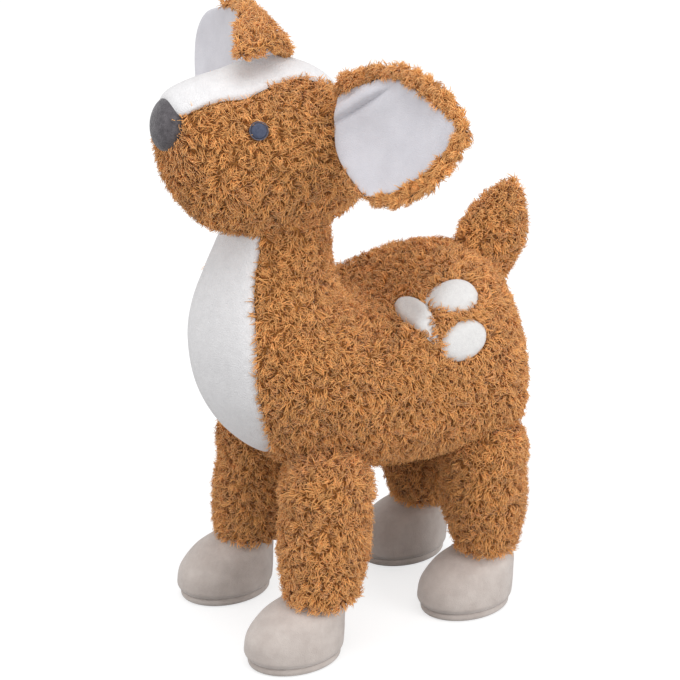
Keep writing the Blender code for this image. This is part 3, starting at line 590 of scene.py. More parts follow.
def clear_of_ovals(points, ovals, half_long, half_wide):
    """Whether points are outside all of these oval patches."""
    free = np.ones(len(points), bool)
    for middle, east, north, out in ovals:
        aside = points - np.array(middle)
        x = aside @ np.array(east) / half_long
        y = aside @ np.array(north) / half_wide
        near = np.abs(aside @ np.array(out)) < 0.008
        free &= ~((x**2 + y**2 < 1) & near)
    return free


# Where the legs are set in the body, on its left side, and the sizes of their round tops
FRONT_PIVOT = (0.0310, -0.0290, 0.0765)
REAR_PIVOT = (0.0290, 0.0520, 0.0765)
FRONT_TOP_RADIUS = 0.0212
REAR_TOP_RADIUS = 0.0205

at, angle, places, out = scattered(body_form, CURLS_PER_MM2, 1)
kept = ~in_panel(CHEST_EDGE, CHEST_MIDDLE, at, angle - math.pi) & (places[:, 2] < 0.194)
for set_in, half_long, half_wide in spot_frames:
    kept &= clear_of_ovals(places, [set_in], half_long - SPOT_OVERLAP, half_wide - SPOT_OVERLAP)
for pivot, radius in ((FRONT_PIVOT, FRONT_TOP_RADIUS), (REAR_PIVOT, REAR_TOP_RADIUS)):
    for side in (1, -1):
        centre = np.array([MIDDLE_X + side * pivot[0], pivot[1], pivot[2]])
        kept &= np.linalg.norm(places - centre, axis=1) > radius - 0.002
places, out = places[kept], out[kept]
parting = sum(combed(places, set_in[0], near=0.0080, strength=1.2) for set_in, _, _ in spot_frames)
roots = places - out * PILE_DEPTH
body_curls = curls("body_pile", roots, out, CURL_LENGTH, caramel, 2, comb=parting)
for piece in (body_skin, body_curls):
    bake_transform(piece)
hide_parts("torso_cover")

# Head.
# An egg of the same plush, drawn to a blunt muzzle, closed round the neck and firmly stuffed.
HEAD_SHARES = np.array(
    [
        (0.000, 0.707, 0.000, 0.707, 0.001),
        (0.032, 0.844, 0.016, 0.544, 0.23),
        (0.092, 0.912, 0.049, 0.374, 0.40),
        (0.205, 0.946, 0.119, 0.224, 0.57),
        (0.346, 0.969, 0.222, 0.098, 0.75),
        (0.497, 1.000, 0.389, 0.020, 0.91),
        (0.649, 0.993, 0.578, 0.000, 1.00),
        (0.795, 0.918, 0.757, 0.034, 0.98),
        (0.908, 0.782, 0.892, 0.143, 0.82),
        (0.978, 0.639, 0.973, 0.286, 0.53),
        (1.000, 0.483, 1.000, 0.483, 0.001),
    ]
)
HEAD_LENGTH, HEAD_HALF_WIDTH, HEAD_DEPTH = 0.0925, 0.0378, 0.0735
# Where the neck turns, in shares of the head's length and depth
NECK_IN_HEAD = (0.582, 0.109)
HEAD_START_Y = NECK_TURN.y - NECK_IN_HEAD[0] * HEAD_LENGTH
HEAD_START_Z = NECK_TURN.z - NECK_IN_HEAD[1] * HEAD_DEPTH
head_rings = HEAD_SHARES * [HEAD_LENGTH, HEAD_DEPTH, HEAD_LENGTH, HEAD_DEPTH, HEAD_HALF_WIDTH]
head_rings += [HEAD_START_Y, HEAD_START_Z, HEAD_START_Y, HEAD_START_Z, 0]
head_form = stacked(head_rings, MIDDLE_X)
head_skin = form_skin("head_cover_plush", head_form, PILE_DEPTH, backing)
head_tree = tree_of(head_skin)

# Blaze.
# A strip of white short fleece from the nose up over the forehead, sewn between the cheeks.
BLAZE_EDGE = (
    (1.15, 0.00), (1.20, 0.55), (1.50, 0.84), (1.95, 0.86), (2.84, 0.68), (3.51, 0.61), (4.08, 0.61),
    (4.62, 0.54), (5.24, 0.45), (5.93, 0.40), (6.48, 0.41), (7.07, 0.37), (7.60, 0.26), (7.85, 0.00),
)
BLAZE_MIDDLE = 4.4
blaze = sewn_panel("blaze_cloth", head_form, BLAZE_MIDDLE, mirrored_edge(BLAZE_EDGE), 0, white_fleece)
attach(blaze, "head")
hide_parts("blaze")

# Nose.
# A small egg of grey velour, stuffed hard and sewn over the end of the muzzle.
NOSE_HALF = (0.0109, 0.0066, 0.0114)
NOSE_DROP = 0.0010
NOSE_LEAN = math.radians(-12)
nose_low, nose_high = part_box("nose")
nose_middle = (Vector(nose_low) + Vector(nose_high)) / 2 - Vector((0, 0, NOSE_DROP))


def off_nose(points, margin):
    from_nose = (points - np.array(nose_middle)) / (np.array(NOSE_HALF) + margin)
    return np.linalg.norm(from_nose, axis=1) > 1


grey_velour = brushed(
    "grey nose velour",
    (0.060, 0.054, 0.061),
    (0.145, 0.132, 0.142),
    330, 0.85, 0.45, 1.0, 1700,
)
bm = bmesh.new()
bmesh.ops.create_uvsphere(bm, u_segments=64, v_segments=40, radius=1)
nose_turn = Matrix.Rotation(NOSE_LEAN, 4, "X")
nose_size = Matrix.Diagonal((*NOSE_HALF, 1))
bmesh.ops.transform(bm, matrix=Matrix.Translation(nose_middle) @ nose_turn @ nose_size, verts=bm.verts)
nose_mesh = bpy.data.meshes.new("nose_velour")
bm.to_mesh(nose_mesh)
bm.free()
nose_mesh.shade_smooth()
nose = placed("nose_velour", nose_mesh, grey_velour)
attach(nose, "head")
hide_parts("nose")

# Eyes.
# Each is embroidered: close satin stitches of slate thread inside a paler outline stitch.
EYE_RADIUS = 0.0036
EYE_DOME = 0.0007
EYE_EDGE_DROP = 0.0012
EYE_LIFT = 0.0004
STITCH_HEIGHT = 0.00006
STITCH_PITCH = 0.00042
OUTLINE_THREAD_RADIUS = 0.00022
OUTLINE_GAP, OUTLINE_WOBBLE = 0.0001, 0.00005
OUTLINE_POINTS = 96
EYE_PLACE = (4.31, 1.096)
slate_thread = brushed(
    "slate eye thread",
    (0.050, 0.062, 0.105),
    (0.085, 0.10, 0.155),
    900, 0.55, 0.2, 0.3, 2600,
)
pale_thread = brushed("pale eye thread", (0.09, 0.095, 0.13), (0.15, 0.145, 0.17), 900, 0.6, 0.2, 0.3, 2600)
eye_frames = []
for side, side_name in ((1, "left"), (-1, "right")):
    middle, east, north, out = patch_frame(head_form, EYE_PLACE[0], EYE_PLACE[1] * side, 0)
    eye_frames.append((middle, east, north, out))
    net = []
    rings, around = 20, 72
    for share, turn in disc_places(rings, around):
        x = EYE_RADIUS * share * math.cos(turn)
        y = EYE_RADIUS * share * math.sin(turn)
        ridge = STITCH_HEIGHT * math.cos(math.tau * x / STITCH_PITCH)
        height = EYE_DOME * (1 - share**2) + ridge - EYE_EDGE_DROP * share**12
        net.append(middle + east * x + north * y + out * (height + EYE_LIFT))
    name = f"eye_{side_name}_stitches"
    eye = placed(name, patch_mesh(name, net, rings, around, out), slate_thread)
    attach(eye, "head")
    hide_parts(f"eye_{side_name}")
    points = []
    for step in range(OUTLINE_POINTS):
        turn = math.tau * step / OUTLINE_POINTS
        wide = EYE_RADIUS + OUTLINE_GAP + OUTLINE_WOBBLE * math.cos(turn * OUTLINE_POINTS / 4)
        across, up = wide * math.cos(turn), wide * math.sin(turn)
        points.append(middle + east * across + north * up + out * EYE_LIFT)
    outline = thread_loop(f"eye_{side_name}_outline", points, OUTLINE_THREAD_RADIUS, pale_thread)
    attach(outline, "head")

at, angle, places, out = scattered(head_form, CURLS_PER_MM2, 3)
kept = ~in_panel(BLAZE_EDGE, BLAZE_MIDDLE, at, (angle + math.pi) % math.tau - math.pi)
kept &= clear_of_ovals(places, eye_frames, EYE_RADIUS, EYE_RADIUS)
kept &= off_nose(places, 0.0004)
at, angle, places, out = at[kept], angle[kept], places[kept], out[kept]
kept = outside_of(body_tree, places, by=0.0005)
places, out = places[kept], out[kept]
parting = combed(places, nose_middle, near=0.0125, strength=3.0)
for middle, _, _, _ in eye_frames:
    parting += combed(places, middle, near=EYE_RADIUS + 0.0006, strength=1.6)
head_curls = curls("head_pile", places - out * PILE_DEPTH, out, CURL_LENGTH, caramel, 4, comb=parting)
for piece in (head_skin, head_curls):
    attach(piece, "head")
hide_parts("head_cover")

# Ears.
# Each is a leaf of caramel plush with a pale velour lining, turned and sewn to the side of the head.
# The lining is cut smaller, so the pile rolls over its edge. The left ear is tucked near the head, and
# the upper corner of the right one flops forward.
EAR_LENGTH, EAR_HALF_WIDTH = 0.068, 0.02875
EAR_SIZE = np.array([EAR_LENGTH, EAR_HALF_WIDTH])
LEAF_MIDDLE = np.array([0.45, 0.0])
EAR_THICKNESS, FOLD_RADIUS, CUP_RADIUS = 0.0042, 0.006, 0.075
EAR_SINK = 0.0026
EARS = {
    "left": {
        "edge": (
            (0.047, 0.383), (0.029, 0.615), (0.065, 0.872), (0.223, 0.998), (0.391, 1.051),
            (0.553, 1.051), (0.694, 0.942), (0.818, 0.794), (0.923, 0.606), (0.998, 0.374),
            (1.036, 0.138), (1.003, -0.096), (0.942, -0.337), (0.846, -0.587), (0.732, -0.774),
            (0.607, -0.893), (0.456, -0.871), (0.303, -0.731), (0.170, -0.456), (0.073, -0.150),
            (0.028, 0.130),
        ),
        "lining": (
            (0.053, 0.508), (0.085, 0.640), (0.240, 0.765), (0.405, 0.863), (0.471, 0.865),
            (0.544, 0.831), (0.745, 0.594), (0.906, 0.367), (0.948, 0.237), (0.911, 0.004),
            (0.801, -0.353), (0.626, -0.659), (0.529, -0.744), (0.426, -0.788), (0.347, -0.725),
            (0.181, -0.426), (0.091, -0.177), (0.055, 0.062), (0.042, 0.300),
        ),
        "tuck": ((0.06, 0.25), (0.43, 0.70)),
        "fringe": 0.95,
        "bare_beyond": 9.0,
        "fold": ((0.0, 1.2), (0.5, 1.6)),
        "fold_angle": 0.0,
        "lift": math.radians(9),
        "sweep": math.radians(23),
        "roll": math.radians(-20),
    },
    "right": {
        "edge": (
            (-0.03, 0.05), (-0.14, 0.50), (-0.28, 0.90), (-0.42, 1.22), (-0.58, 1.70), (-0.58, 2.26),
            (-0.40, 2.08), (-0.22, 1.87), (-0.04, 1.62), (0.20, 1.31), (0.44, 1.05), (0.66, 0.80),
            (0.84, 0.54), (0.97, 0.22), (1.01, -0.05), (0.94, -0.34), (0.77, -0.66), (0.54, -0.88),
            (0.32, -0.93), (0.14, -0.66), (0.03, -0.30),
        ),
        "lining": (
            (0.00, 0.10), (-0.10, 0.50), (-0.24, 0.90), (-0.34, 1.20), (-0.48, 1.66), (-0.48, 2.04),
            (-0.36, 1.92), (-0.18, 1.73), (0.00, 1.50), (0.22, 1.22), (0.43, 0.985), (0.606, 0.799),
            (0.795, 0.579), (0.945, 0.339), (1.005, 0.091), (0.988, -0.167), (0.885, -0.429),
            (0.712, -0.665), (0.54, -0.78), (0.34, -0.80), (0.18, -0.60), (0.06, -0.26),
        ),
        "tuck": None,
        "fringe": 1.0,
        "bare_beyond": 0.72,
        "fold": ((-0.38, 1.16), (0.46, 1.03)),
        "fold_angle": math.radians(105),
        "lift": math.radians(12),
        "sweep": math.radians(5),
        "roll": math.radians(-14),
    },
}
EAR_PLACE = (6.3, 1.22)
LINING_LIFT = 0.0009
TUCK_WIDTH = 0.0062
TUCK_HEIGHT = 0.0030
GROOVE_DEPTH, GROOVE_WIDTH = 0.0007, 0.0010
BESIDE_HEIGHT, BESIDE_WIDTH = 0.0004, 0.0030
EAR_CURL_LENGTH = 0.0036
EAR_MM2, EAR_PILE_DENSER, RIM_PILE_DENSER = 5600, 1.25, 2.0
# Shares of the way out at which the edge's direction is taken, the back rolls over and its bare part starts
EDGE_INNER, ROLL_START, BARE_START = 0.93, 0.88, 0.86


def bent_leaf(u, v, ear):
    """Places on the flat ear, after its upper corner has flopped forward: along, up and forward."""
    start, end = np.array(ear["fold"]) * EAR_SIZE
    crease = (end - start) / np.linalg.norm(end - start)
    over = np.array([-crease[1], crease[0]])
    flat = np.stack([u, v], -1) - start
    run = flat @ crease
    beyond = flat @ over
    angle = ear["fold_angle"] * np.clip(1.2 - 0.7 * run / np.linalg.norm(end - start), 0, 1)
    turned = np.minimum(np.maximum(beyond, 0), FOLD_RADIUS * angle)
    turn = turned / FOLD_RADIUS
    rest = np.maximum(beyond, 0) - turned
    aside = FOLD_RADIUS * np.sin(turn) + rest * np.cos(turn)
    forward = FOLD_RADIUS * (1 - np.cos(turn)) + rest * np.sin(turn)
    bent = start + run[..., None] * crease + aside[..., None] * over
    folded = beyond > 0
    x = np.where(folded, bent[..., 0], u)
    y = np.where(folded, bent[..., 1], v)
    return np.stack([x, y, y**2 / CUP_RADIUS / 2 + np.where(folded, forward, 0)], -1)


def ear_frame(side, ear):
    """The ear's own directions: along it, up across it and forward out of its lining."""
    level = Vector((side * math.cos(ear["sweep"]), math.sin(ear["sweep"]), 0))
    far = level * math.cos(ear["lift"]) + Vector((0, 0, 1)) * math.sin(ear["lift"])
    forward = (-Vector((0, 1, 0)) + far * far.y).normalized()
    up = (far.cross(forward) * -side).normalized()
    turned_up = up * math.cos(ear["roll"]) + forward * math.sin(ear["roll"])
    facing = forward * math.cos(ear["roll"]) - up * math.sin(ear["roll"])
    return np.array([far, turned_up, facing])


def shrunk_leaf(loop, share):
    """Flat outlines of a leaf, drawn in towards its middle to a share of their size."""
    return LEAF_MIDDLE + (loop - LEAF_MIDDLE) * share


def on_leaf(set_in, share, loop):
    """Places and forward directions at shares of the way from the leaf's middle to its edge."""
    ear, axes, base, side = set_in
    flat = shrunk_leaf(loop, share)
    u, v = flat[..., 0] * EAR_LENGTH, flat[..., 1] * EAR_HALF_WIDTH
    point = base + bent_leaf(u, v, ear) @ axes
    step = 0.0004
    one = bent_leaf(u + step, v, ear) - bent_leaf(u - step, v, ear)
    two = bent_leaf(u, v + step, ear) - bent_leaf(u, v - step, ear)
    return point, unit(np.cross(one @ axes, two @ axes) * side)


def past_edge(set_in, loop):
    """The directions in which a leaf runs out over its edge."""
    edge, _ = on_leaf(set_in, np.ones((len(loop), 1)), loop)
    inner, _ = on_leaf(set_in, np.full((len(loop), 1), EDGE_INNER), loop)
    return unit(edge - inner)


def tucked(flat, tuck):
    """How far the lining stands up: a puffy fold beside the tuck near the head, and soft ripples."""
    x, y = flat[..., 0] * EAR_LENGTH, flat[..., 1] * EAR_HALF_WIDTH
    ripple = 0.00035 * np.sin(x * 190 + y * 120 + 1.0) + 0.00022 * np.sin(y * 260 - x * 90)
    if tuck is None:
        return ripple
    start, end = np.array(tuck) * EAR_SIZE
    run = (end - start) / np.linalg.norm(end - start)
    aside = (y - start[1]) * run[0] - (x - start[0]) * run[1]
    along = ((x - start[0]) * run[0] + (y - start[1]) * run[1]) / np.linalg.norm(end - start)
    fade = np.clip((1.12 - along) / 0.35, 0, 1) ** 0.7
    across = np.clip(aside / TUCK_WIDTH, 0, 1)
    bulge = TUCK_HEIGHT * np.sqrt(np.clip(1 - (2 * across - 1) ** 2, 0, 1)) * (1 - 0.35 * across)
    groove = -GROOVE_DEPTH * np.exp(-((aside + 0.0004) / GROOVE_WIDTH) ** 2)
    beside = BESIDE_HEIGHT * np.exp(-((aside + 0.0045) / BESIDE_WIDTH) ** 2)
    return ripple + (bulge + groove + beside) * fade


def leaf_cloth(name, set_in, loop, low, high, material, rings=30, wavy=0.0):
    """A closed leaf of cloth between two heights over the ear's middle surface."""
    around = len(loop)
    tuck = set_in[0]["tuck"]
    share = np.linspace(0, 1, rings + 1)[1:, None, None]
    point, facing = on_leaf(set_in, share, loop[None, :, :])
    hub, hub_facing = on_leaf(set_in, np.zeros((1, 1)), loop[:1])
    wave = tucked(shrunk_leaf(loop[None, :, :], share), tuck)[..., None] * wavy * (1 - share**14)
    layers = []
    for height in (low, high):
        layers.append(np.concatenate([
            (hub + hub_facing * (height(np.zeros((1, 1))) + tucked(LEAF_MIDDLE, tuck) * wavy)).reshape(1, 3),
            (point + facing * (height(share) + wave)).reshape(-1, 3),
        ]))
    size = len(layers[0])
    faces = []
    for shift, flip in ((0, False), (size, True)):
        for face in disc_faces(rings, around):
            corners = tuple(corner + shift for corner in face)
            faces.append(corners[::-1] if flip else corners)
    rim = 1 + (rings - 1) * around
    for step in range(around):
        one, two = rim + step, rim + (step + 1) % around
        faces.append((one, two, two + size, one + size))
    mesh = cloth_mesh(name, np.concatenate(layers), faces)
    one_way(mesh)
    return placed(name, mesh, material)


ear_velour = brushed("pale ear velour", (0.60, 0.59, 0.635), (0.665, 0.655, 0.70), 90, 0.92, 0.4, 0.5, 2200)
for side, side_name in ((1, "left"), (-1, "right")):
    ear = EARS[side_name]
    axes = ear_frame(side, ear)
    where = (np.array(EAR_PLACE[0]), np.array(EAR_PLACE[1] * side))
    root = on_form(head_form, *where) - out_of_form(head_form, *where) * EAR_SINK
    set_in = (ear, axes, root + axes[2] * (EAR_THICKNESS / 2), side)
    around = 180
    loop = shrunk_leaf(smooth_loop(ear["edge"], around), ear["fringe"])
    lining_loop = smooth_loop(ear["lining"], around * 2)
    thick = EAR_THICKNESS - 0.0016
    back = leaf_cloth(
        f"ear_{side_name}_back",
        set_in,
        shrunk_leaf(loop, 0.95),
        lambda share: -thick * (0.45 + 0.55 * np.sqrt(np.maximum(0, 1 - share**2))),
        lambda share: -0.0007 + 0 * share,
        backing,
    )
    lining = leaf_cloth(
        f"ear_{side_name}_lining",
        set_in,
        lining_loop,
        lambda share: -0.0004 + 0 * share,
        lambda share: 0.0002 + LINING_LIFT * np.sqrt(np.maximum(0, 1 - share**12)),
        ear_velour,
        rings=60,
        wavy=1.0,
    )

    # Pile over the whole back and its rolled edge
    luck = np.random.default_rng(31 + side)
    count = int(EAR_MM2 * CURLS_PER_MM2 * EAR_PILE_DENSER)
    share = np.sqrt(luck.random(count))[:, None]
    edge = loop[luck.integers(0, around, count)]
    point, facing = on_leaf(set_in, share, edge)
    rolled = np.clip((share - ROLL_START) / (1 - ROLL_START), 0, 1)
    back_out = unit(-facing * (1 - 0.55 * rolled) + past_edge(set_in, edge) * rolled * 0.8)
    back_roots = point - facing * thick * (0.4 + 0.55 * np.sqrt(np.maximum(0, 1 - share**2)))
    bare = (edge[:, 0] > ear["bare_beyond"]) & (share[:, 0] > BARE_START)

    # Pile on the front, outside the lining
    rim_count = int(count * RIM_PILE_DENSER)
    rim_share = np.sqrt(luck.uniform(0.40, 0.99, rim_count))[:, None]
    rim_edge = loop[luck.integers(0, around, rim_count)]
    flat = shrunk_leaf(rim_edge, rim_share)
    outside = ~within(shrunk_leaf(lining_loop, 0.99), flat[:, 0], flat[:, 1])
    outside &= flat[:, 0] < ear["bare_beyond"]
    rim_edge = rim_edge[outside]
    point, facing = on_leaf(set_in, rim_share[outside], rim_edge)
    front_out = unit(facing * 0.85 + past_edge(set_in, rim_edge) * 0.6)
    roots = np.concatenate([back_roots, point - facing * 0.001])
    out = np.concatenate([back_out, front_out])
    kept = outside_of(head_tree, roots, by=0.0008)
    kept[: len(back_roots)] &= ~bare
    name = f"ear_{side_name}_pile"
    pile = curls(name, roots[kept], out[kept], EAR_CURL_LENGTH, caramel, 41 + side, lie=0.7)
    far = tuple(root + axes[0] * 0.016)
    for piece in (back, lining, pile):
        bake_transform(piece)
    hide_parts(f"ear_back_{side_name}")
    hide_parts(f"ear_lining_{side_name}")

# Tail.
# A plump leaf of two plush halves, stuffed and sewn upright into the back seam.
TAIL_ROOT = np.array([MIDDLE_X, 0.0668, 0.1555])
TAIL_LENGTH, TAIL_HALF_WIDTH, TAIL_HALF_THICKNESS = 0.0398, 0.0175, 0.0095
TAIL_LEAN = math.radians(24)
# The tail's pile is shorter and closer, as shares of the body's
TAIL_PILE_DEPTH, TAIL_CURL_LENGTH, TAIL_PILE_DENSER = 0.8, 0.95, 1.15
TAIL_SHARES = (
    (-0.14, 0.80, 0.92),
    (0.08, 0.92, 0.97),
    (0.33, 1.00, 1.00),
    (0.52, 0.86, 0.96),
    (0.72, 0.60, 0.80),
    (0.89, 0.30, 0.50),
    (1.00, 0.01, 0.01),
)
tail_up = np.array([0, math.sin(TAIL_LEAN), math.cos(TAIL_LEAN)])
tail_back = np.array([0, math.cos(TAIL_LEAN), -math.sin(TAIL_LEAN)])
tail_rows = []
for far, wide, thick in TAIL_SHARES:
    middle = TAIL_ROOT + tail_up * far * TAIL_LENGTH
    sideways = np.array([thick * TAIL_HALF_THICKNESS, 0, 0])
    tail_rows.append(np.concatenate([middle, tail_back * wide * TAIL_HALF_WIDTH, sideways]))
tail_form = np.array(tail_rows)
tail_skin = form_skin("tail_cover_plush", tail_form, PILE_DEPTH * TAIL_PILE_DEPTH, backing, 8, 64)
at, angle, places, out = scattered(tail_form, CURLS_PER_MM2 * TAIL_PILE_DENSER, 51)
kept = outside_of(body_tree, places, by=0.0015)
places, out = places[kept], out[kept]
roots = places - out * PILE_DEPTH * TAIL_PILE_DEPTH
tail_curls = curls("tail_pile", roots, out, CURL_LENGTH * TAIL_CURL_LENGTH, caramel, 52)
for piece in (tail_skin, tail_curls):
    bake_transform(piece)
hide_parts("tail_cover")

# Legs.
# Sleeves of the same plush that end in a round shoulder or hip inside the body's seam.
# Each hem is turned in over a boot of taupe velour on a flat sole, with a seam where the two meet.
taupe = brushed("taupe foot velour", (0.50, 0.435, 0.40), (0.61, 0.545, 0.505), 110, 0.9, 0.55, 0.6, 2000)
seam_brown = brushed("taupe seam thread", (0.38, 0.33, 0.305), (0.48, 0.42, 0.39), 900, 0.9, 0.2, 0.4, 2400)
LEGS = {
    "front": {
        "pivot": FRONT_PIVOT,
        "radius": FRONT_TOP_RADIUS,
        "ankle": (0.0350, -0.0340),
        "ankle_radius": 0.0172,
        "boot_forward": 0.0030,
    },
    "rear": {
        "pivot": REAR_PIVOT,
        "radius": REAR_TOP_RADIUS,
        "ankle": (0.0295, 0.0539),
        "ankle_radius": 0.0144,
        "boot_forward": 0.0,
    },
}
HEM_HEIGHT = 0.0275
SOLE_THICKNESS = 0.0045
SEAM_THREAD_RADIUS = 0.00018
SEAM_DROP = 0.0001
SEAM_POINTS = 120
# Height, and share of the sole's full width there
SOLE_PROFILE = (
    (0.0, 0.86),
    (0.00035, 0.935),
    (0.0012, 0.985),
    (0.0024, 1.0),
    (0.0036, 0.985),
    (0.0044, 0.945),
)
# The round top's rings in degrees, then share of the way up and of the width from ankle to top of the rest
TOP_RINGS = (88, 70, 50, 30, 10, -8, -17.5)
SLEEVE_RINGS = ((0.60, 0.84), (0.33, 0.50), (0.11, 0.06), (0.02, -0.12), (0.0, -0.30))
BOOT_GAP = 0.0006
BOOT_NECK = ((0.0, 1.0), (0.004, 0.94))
FOOT_LENGTH, FOOT_HALF_WIDTH, FOOT_ANKLE_RADIUS = 0.046, 0.01775, 0.0120
# Heel y and z, toe y and z, half width, in shares of the foot's length, the boot's height and the foot's
# half width
FOOT_SHARES = (
    (0.245, 0.000, -0.690, 0.000, 0.915),
    (0.268, 0.055, -0.715, 0.060, 0.975),
    (0.276, 0.150, -0.724, 0.165, 1.000),
    (0.285, 0.395, -0.690, 0.460, 0.980),
    (0.288, 0.645, -0.550, 0.770, 0.910),
    (0.290, 0.830, -0.390, 0.920, 0.820),
)


def round_row(centre, wide):
    """A level round ring of a form."""
    return centre, np.array([0, wide, 0]), np.array([wide, 0, 0])


def tube_form(rows):
    return np.array([np.concatenate(row) for row in rows])


for place, leg in LEGS.items():
    for side, side_name in ((1, "left"), (-1, "right")):
        body = f"leg_{place}_{side_name}"
        pivot = np.array([MIDDLE_X + side * leg["pivot"][0], leg["pivot"][1], leg["pivot"][2]])
        ankle = np.array([MIDDLE_X + side * leg["ankle"][0], leg["ankle"][1], 0])
        radius, ankle_radius = leg["radius"], leg["ankle_radius"]
        rows = []
        for latitude in TOP_RINGS:
            tilt = math.radians(latitude)
            centre = pivot + np.array([0, 0, radius * math.sin(tilt)])
            rows.append(round_row(centre, radius * math.cos(tilt)))
        start = rows[-1][0]
        for up_share, size_share in SLEEVE_RINGS:
            height = HEM_HEIGHT + up_share * (start[2] - HEM_HEIGHT)
            low = np.array([ankle[0], ankle[1], height])
            high = np.array([start[0], start[1], height])
            centre = low + (high - low) * up_share
            rows.append(round_row(centre, ankle_radius + size_share * (radius - ankle_radius)))
        sleeve_form = tube_form(rows)
        sleeve = form_skin(f"{body}_sleeve", sleeve_form, PILE_DEPTH, backing, 5, 72)
        at, angle, places, out = scattered(sleeve_form, CURLS_PER_MM2, 60 + side + len(place), 0.5, 10.9)
        kept = outside_of(body_tree, places, by=0.0012)
        places, out = places[kept], out[kept]
        roots = places - out * PILE_DEPTH
        pile = curls(f"{body}_pile", roots, out, CURL_LENGTH, caramel, 70 + side + len(place))
        for piece in (sleeve, pile):
            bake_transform(piece)
        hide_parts(f"{body}_cover")

        # Boot and sole
        boot_y = ankle[1] - leg["boot_forward"]
        boot_height = HEM_HEIGHT - SOLE_THICKNESS - BOOT_GAP
        rows = []
        for heel_y, heel_z, toe_y, toe_z, half in FOOT_SHARES:
            heel = np.array([ankle[0], boot_y + heel_y * FOOT_LENGTH, SOLE_THICKNESS + heel_z * boot_height])
            toe = np.array([ankle[0], boot_y + toe_y * FOOT_LENGTH, SOLE_THICKNESS + toe_z * boot_height])
            rows.append(((heel + toe) / 2, (heel - toe) / 2, np.array([half * FOOT_HALF_WIDTH, 0, 0])))
        for rise, wide in BOOT_NECK:
            centre = np.array([ankle[0], boot_y, SOLE_THICKNESS + boot_height + rise])
            rows.append(round_row(centre, FOOT_ANKLE_RADIUS * wide))
        boot_form = tube_form(rows)
        boot = form_skin(f"{body}_boot_velour", boot_form, 0.0, taupe, 8, 96)
        edge = boot_form[0]
        sole_rows = []
        for height, share in SOLE_PROFILE:
            centre = edge[:3].copy()
            centre[2] = height
            sole_rows.append((centre, edge[3:6] * share, edge[6:] * share))
        sole = form_skin(f"{body}_sole_velour", tube_form(sole_rows), 0.0, taupe, 5, 96)
        points = []
        for step in range(SEAM_POINTS):
            turn = math.tau * step / SEAM_POINTS
            x, y, _ = edge[:3] + (edge[3:6] * math.cos(turn) + edge[6:] * math.sin(turn))
            points.append((x, y, SOLE_THICKNESS - SEAM_DROP))
        seam = thread_loop(f"{body}_seam", points, SEAM_THREAD_RADIUS, seam_brown)
        for piece in (boot, sole, seam):
            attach(piece, body)
        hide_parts(f"{body}_boot")
        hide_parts(f"{body}_sole")

# Fibre filling.
# Loose white polyester inside every cover, out of sight once the seams are closed.
fibre = brushed("polyester fibre", (0.72, 0.72, 0.70), (0.9, 0.9, 0.88), 300, 1.0, 0.2, 1.0, 900)
for name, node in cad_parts.items():
    if name.endswith("_filling"):
        node.data.materials.clear()
        node.data.materials.append(fibre)

# Studio.
# A pale floor, soft light from above, the left and the front, and a camera that looks a little down.
CAMERA_AROUND, CAMERA_ABOVE, CAMERA_DISTANCE = math.radians(61.7), math.radians(22.8), 1.0
SENSOR_MM, FOCAL_PIXELS, PICTURE_PIXELS = 36, 2270, 680
target = Vector((-0.0014, -0.0043, 0.1296))
back_to = Vector(
    (
        math.sin(CAMERA_AROUND) * math.cos(CAMERA_ABOVE),
        -math.cos(CAMERA_AROUND) * math.cos(CAMERA_ABOVE),
        math.sin(CAMERA_ABOVE),
    )
)
lens = bpy.data.cameras.new("camera")
lens.sensor_width = SENSOR_MM
lens.lens = SENSOR_MM * FOCAL_PIXELS / PICTURE_PIXELS
lens.clip_start = 0.01
camera = bpy.data.objects.new("camera", lens)
camera.location = target + back_to * CAMERA_DISTANCE
camera.rotation_euler = (-back_to).to_track_quat("-Z", "Y").to_euler()
bpy.context.scene.collection.objects.link(camera)
bpy.context.scene.camera = camera


def lamp(name, place, aim, size, power):
    light = bpy.data.lights.new(name, "AREA")
    light.shape = "DISK"
    light.size = size
    light.energy = power
    made = bpy.data.objects.new(name, light)
    made.location = place
    made.rotation_euler = (Vector(aim) - Vector(place)).to_track_quat("-Z", "Y").to_euler()
    bpy.context.scene.collection.objects.link(made)


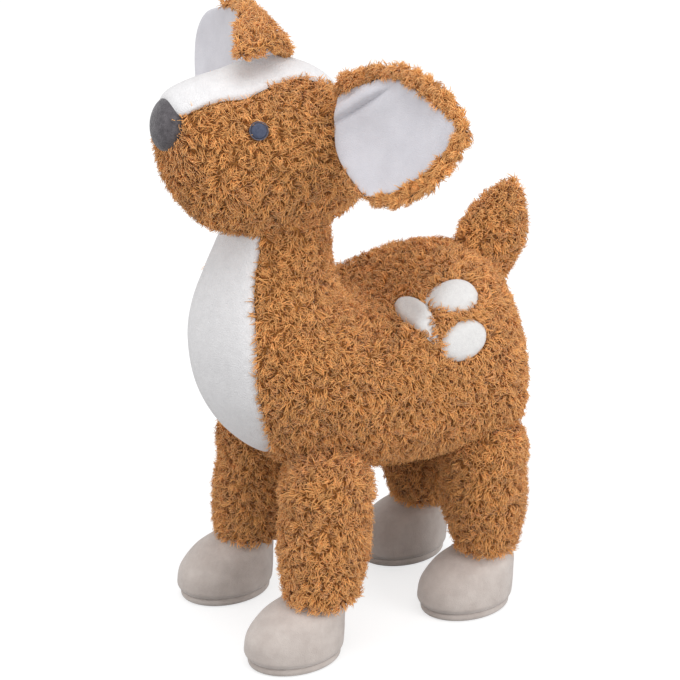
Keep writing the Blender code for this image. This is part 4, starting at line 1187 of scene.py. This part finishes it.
lamp("lamp above", (0.35, -0.15, 1.25), (0, 0, 0.12), 0.9, 4.8)
lamp("lamp left", (1.15, 0.55, 0.52), (0, 0, 0.09), 0.8, 7.9)
lamp("lamp front", (-0.35, -1.1, 0.35), (0, 0, 0.10), 0.8, 3.2)

world = bpy.data.worlds.new("white room")
bpy.context.scene.world = world
world.use_nodes = True
nodes, links = world.node_tree.nodes, world.node_tree.links
nodes.clear()
path = nodes.new("ShaderNodeLightPath")
room = nodes.new("ShaderNodeBackground")
fill_in(room, {"Color": (1, 1, 1, 1), "Strength": 0.74})
seen = nodes.new("ShaderNodeBackground")
fill_in(seen, {"Color": (1, 1, 1, 1), "Strength": 1.0})
either = nodes.new("ShaderNodeMixShader")
output = nodes.new("ShaderNodeOutputWorld")
links.new(path.outputs["Is Camera Ray"], either.inputs["Fac"])
links.new(room.outputs[0], either.inputs[1])
links.new(seen.outputs[0], either.inputs[2])
links.new(either.outputs[0], output.inputs["Surface"])

floor_mesh = bpy.data.meshes.new("floor")
reach = 6.0
floor_corners = [(-reach, -reach, 0), (reach, -reach, 0), (reach, reach, 0), (-reach, reach, 0)]
floor_mesh.from_pydata(floor_corners, [], [(0, 1, 2, 3)])
floor_cloth = bpy.data.materials.new("pale floor")
floor_cloth.use_nodes = True
nodes, links = floor_cloth.node_tree.nodes, floor_cloth.node_tree.links
matt = nodes["Principled BSDF"]
fill_in(matt, {"Base Color": (0.80, 0.80, 0.80, 1), "Roughness": 1.0, "Specular IOR Level": 0.0})
glow = nodes.new("ShaderNodeEmission")
glow.inputs["Color"].default_value = (1, 1, 1, 1)
path = nodes.new("ShaderNodeLightPath")
brighter = nodes.new("ShaderNodeMath")
brighter.operation = "MULTIPLY"
brighter.inputs[1].default_value = 1.5
links.new(path.outputs["Is Camera Ray"], brighter.inputs[0])
links.new(brighter.outputs[0], glow.inputs["Strength"])
both = nodes.new("ShaderNodeMixShader")
both.inputs["Fac"].default_value = 0.45
output = nodes["Material Output"]
links.new(matt.outputs[0], both.inputs[1])
links.new(glow.outputs[0], both.inputs[2])
links.new(both.outputs[0], output.inputs["Surface"])
floor = placed("floor", floor_mesh, floor_cloth)

bpy.context.scene.view_settings.view_transform = "Standard"
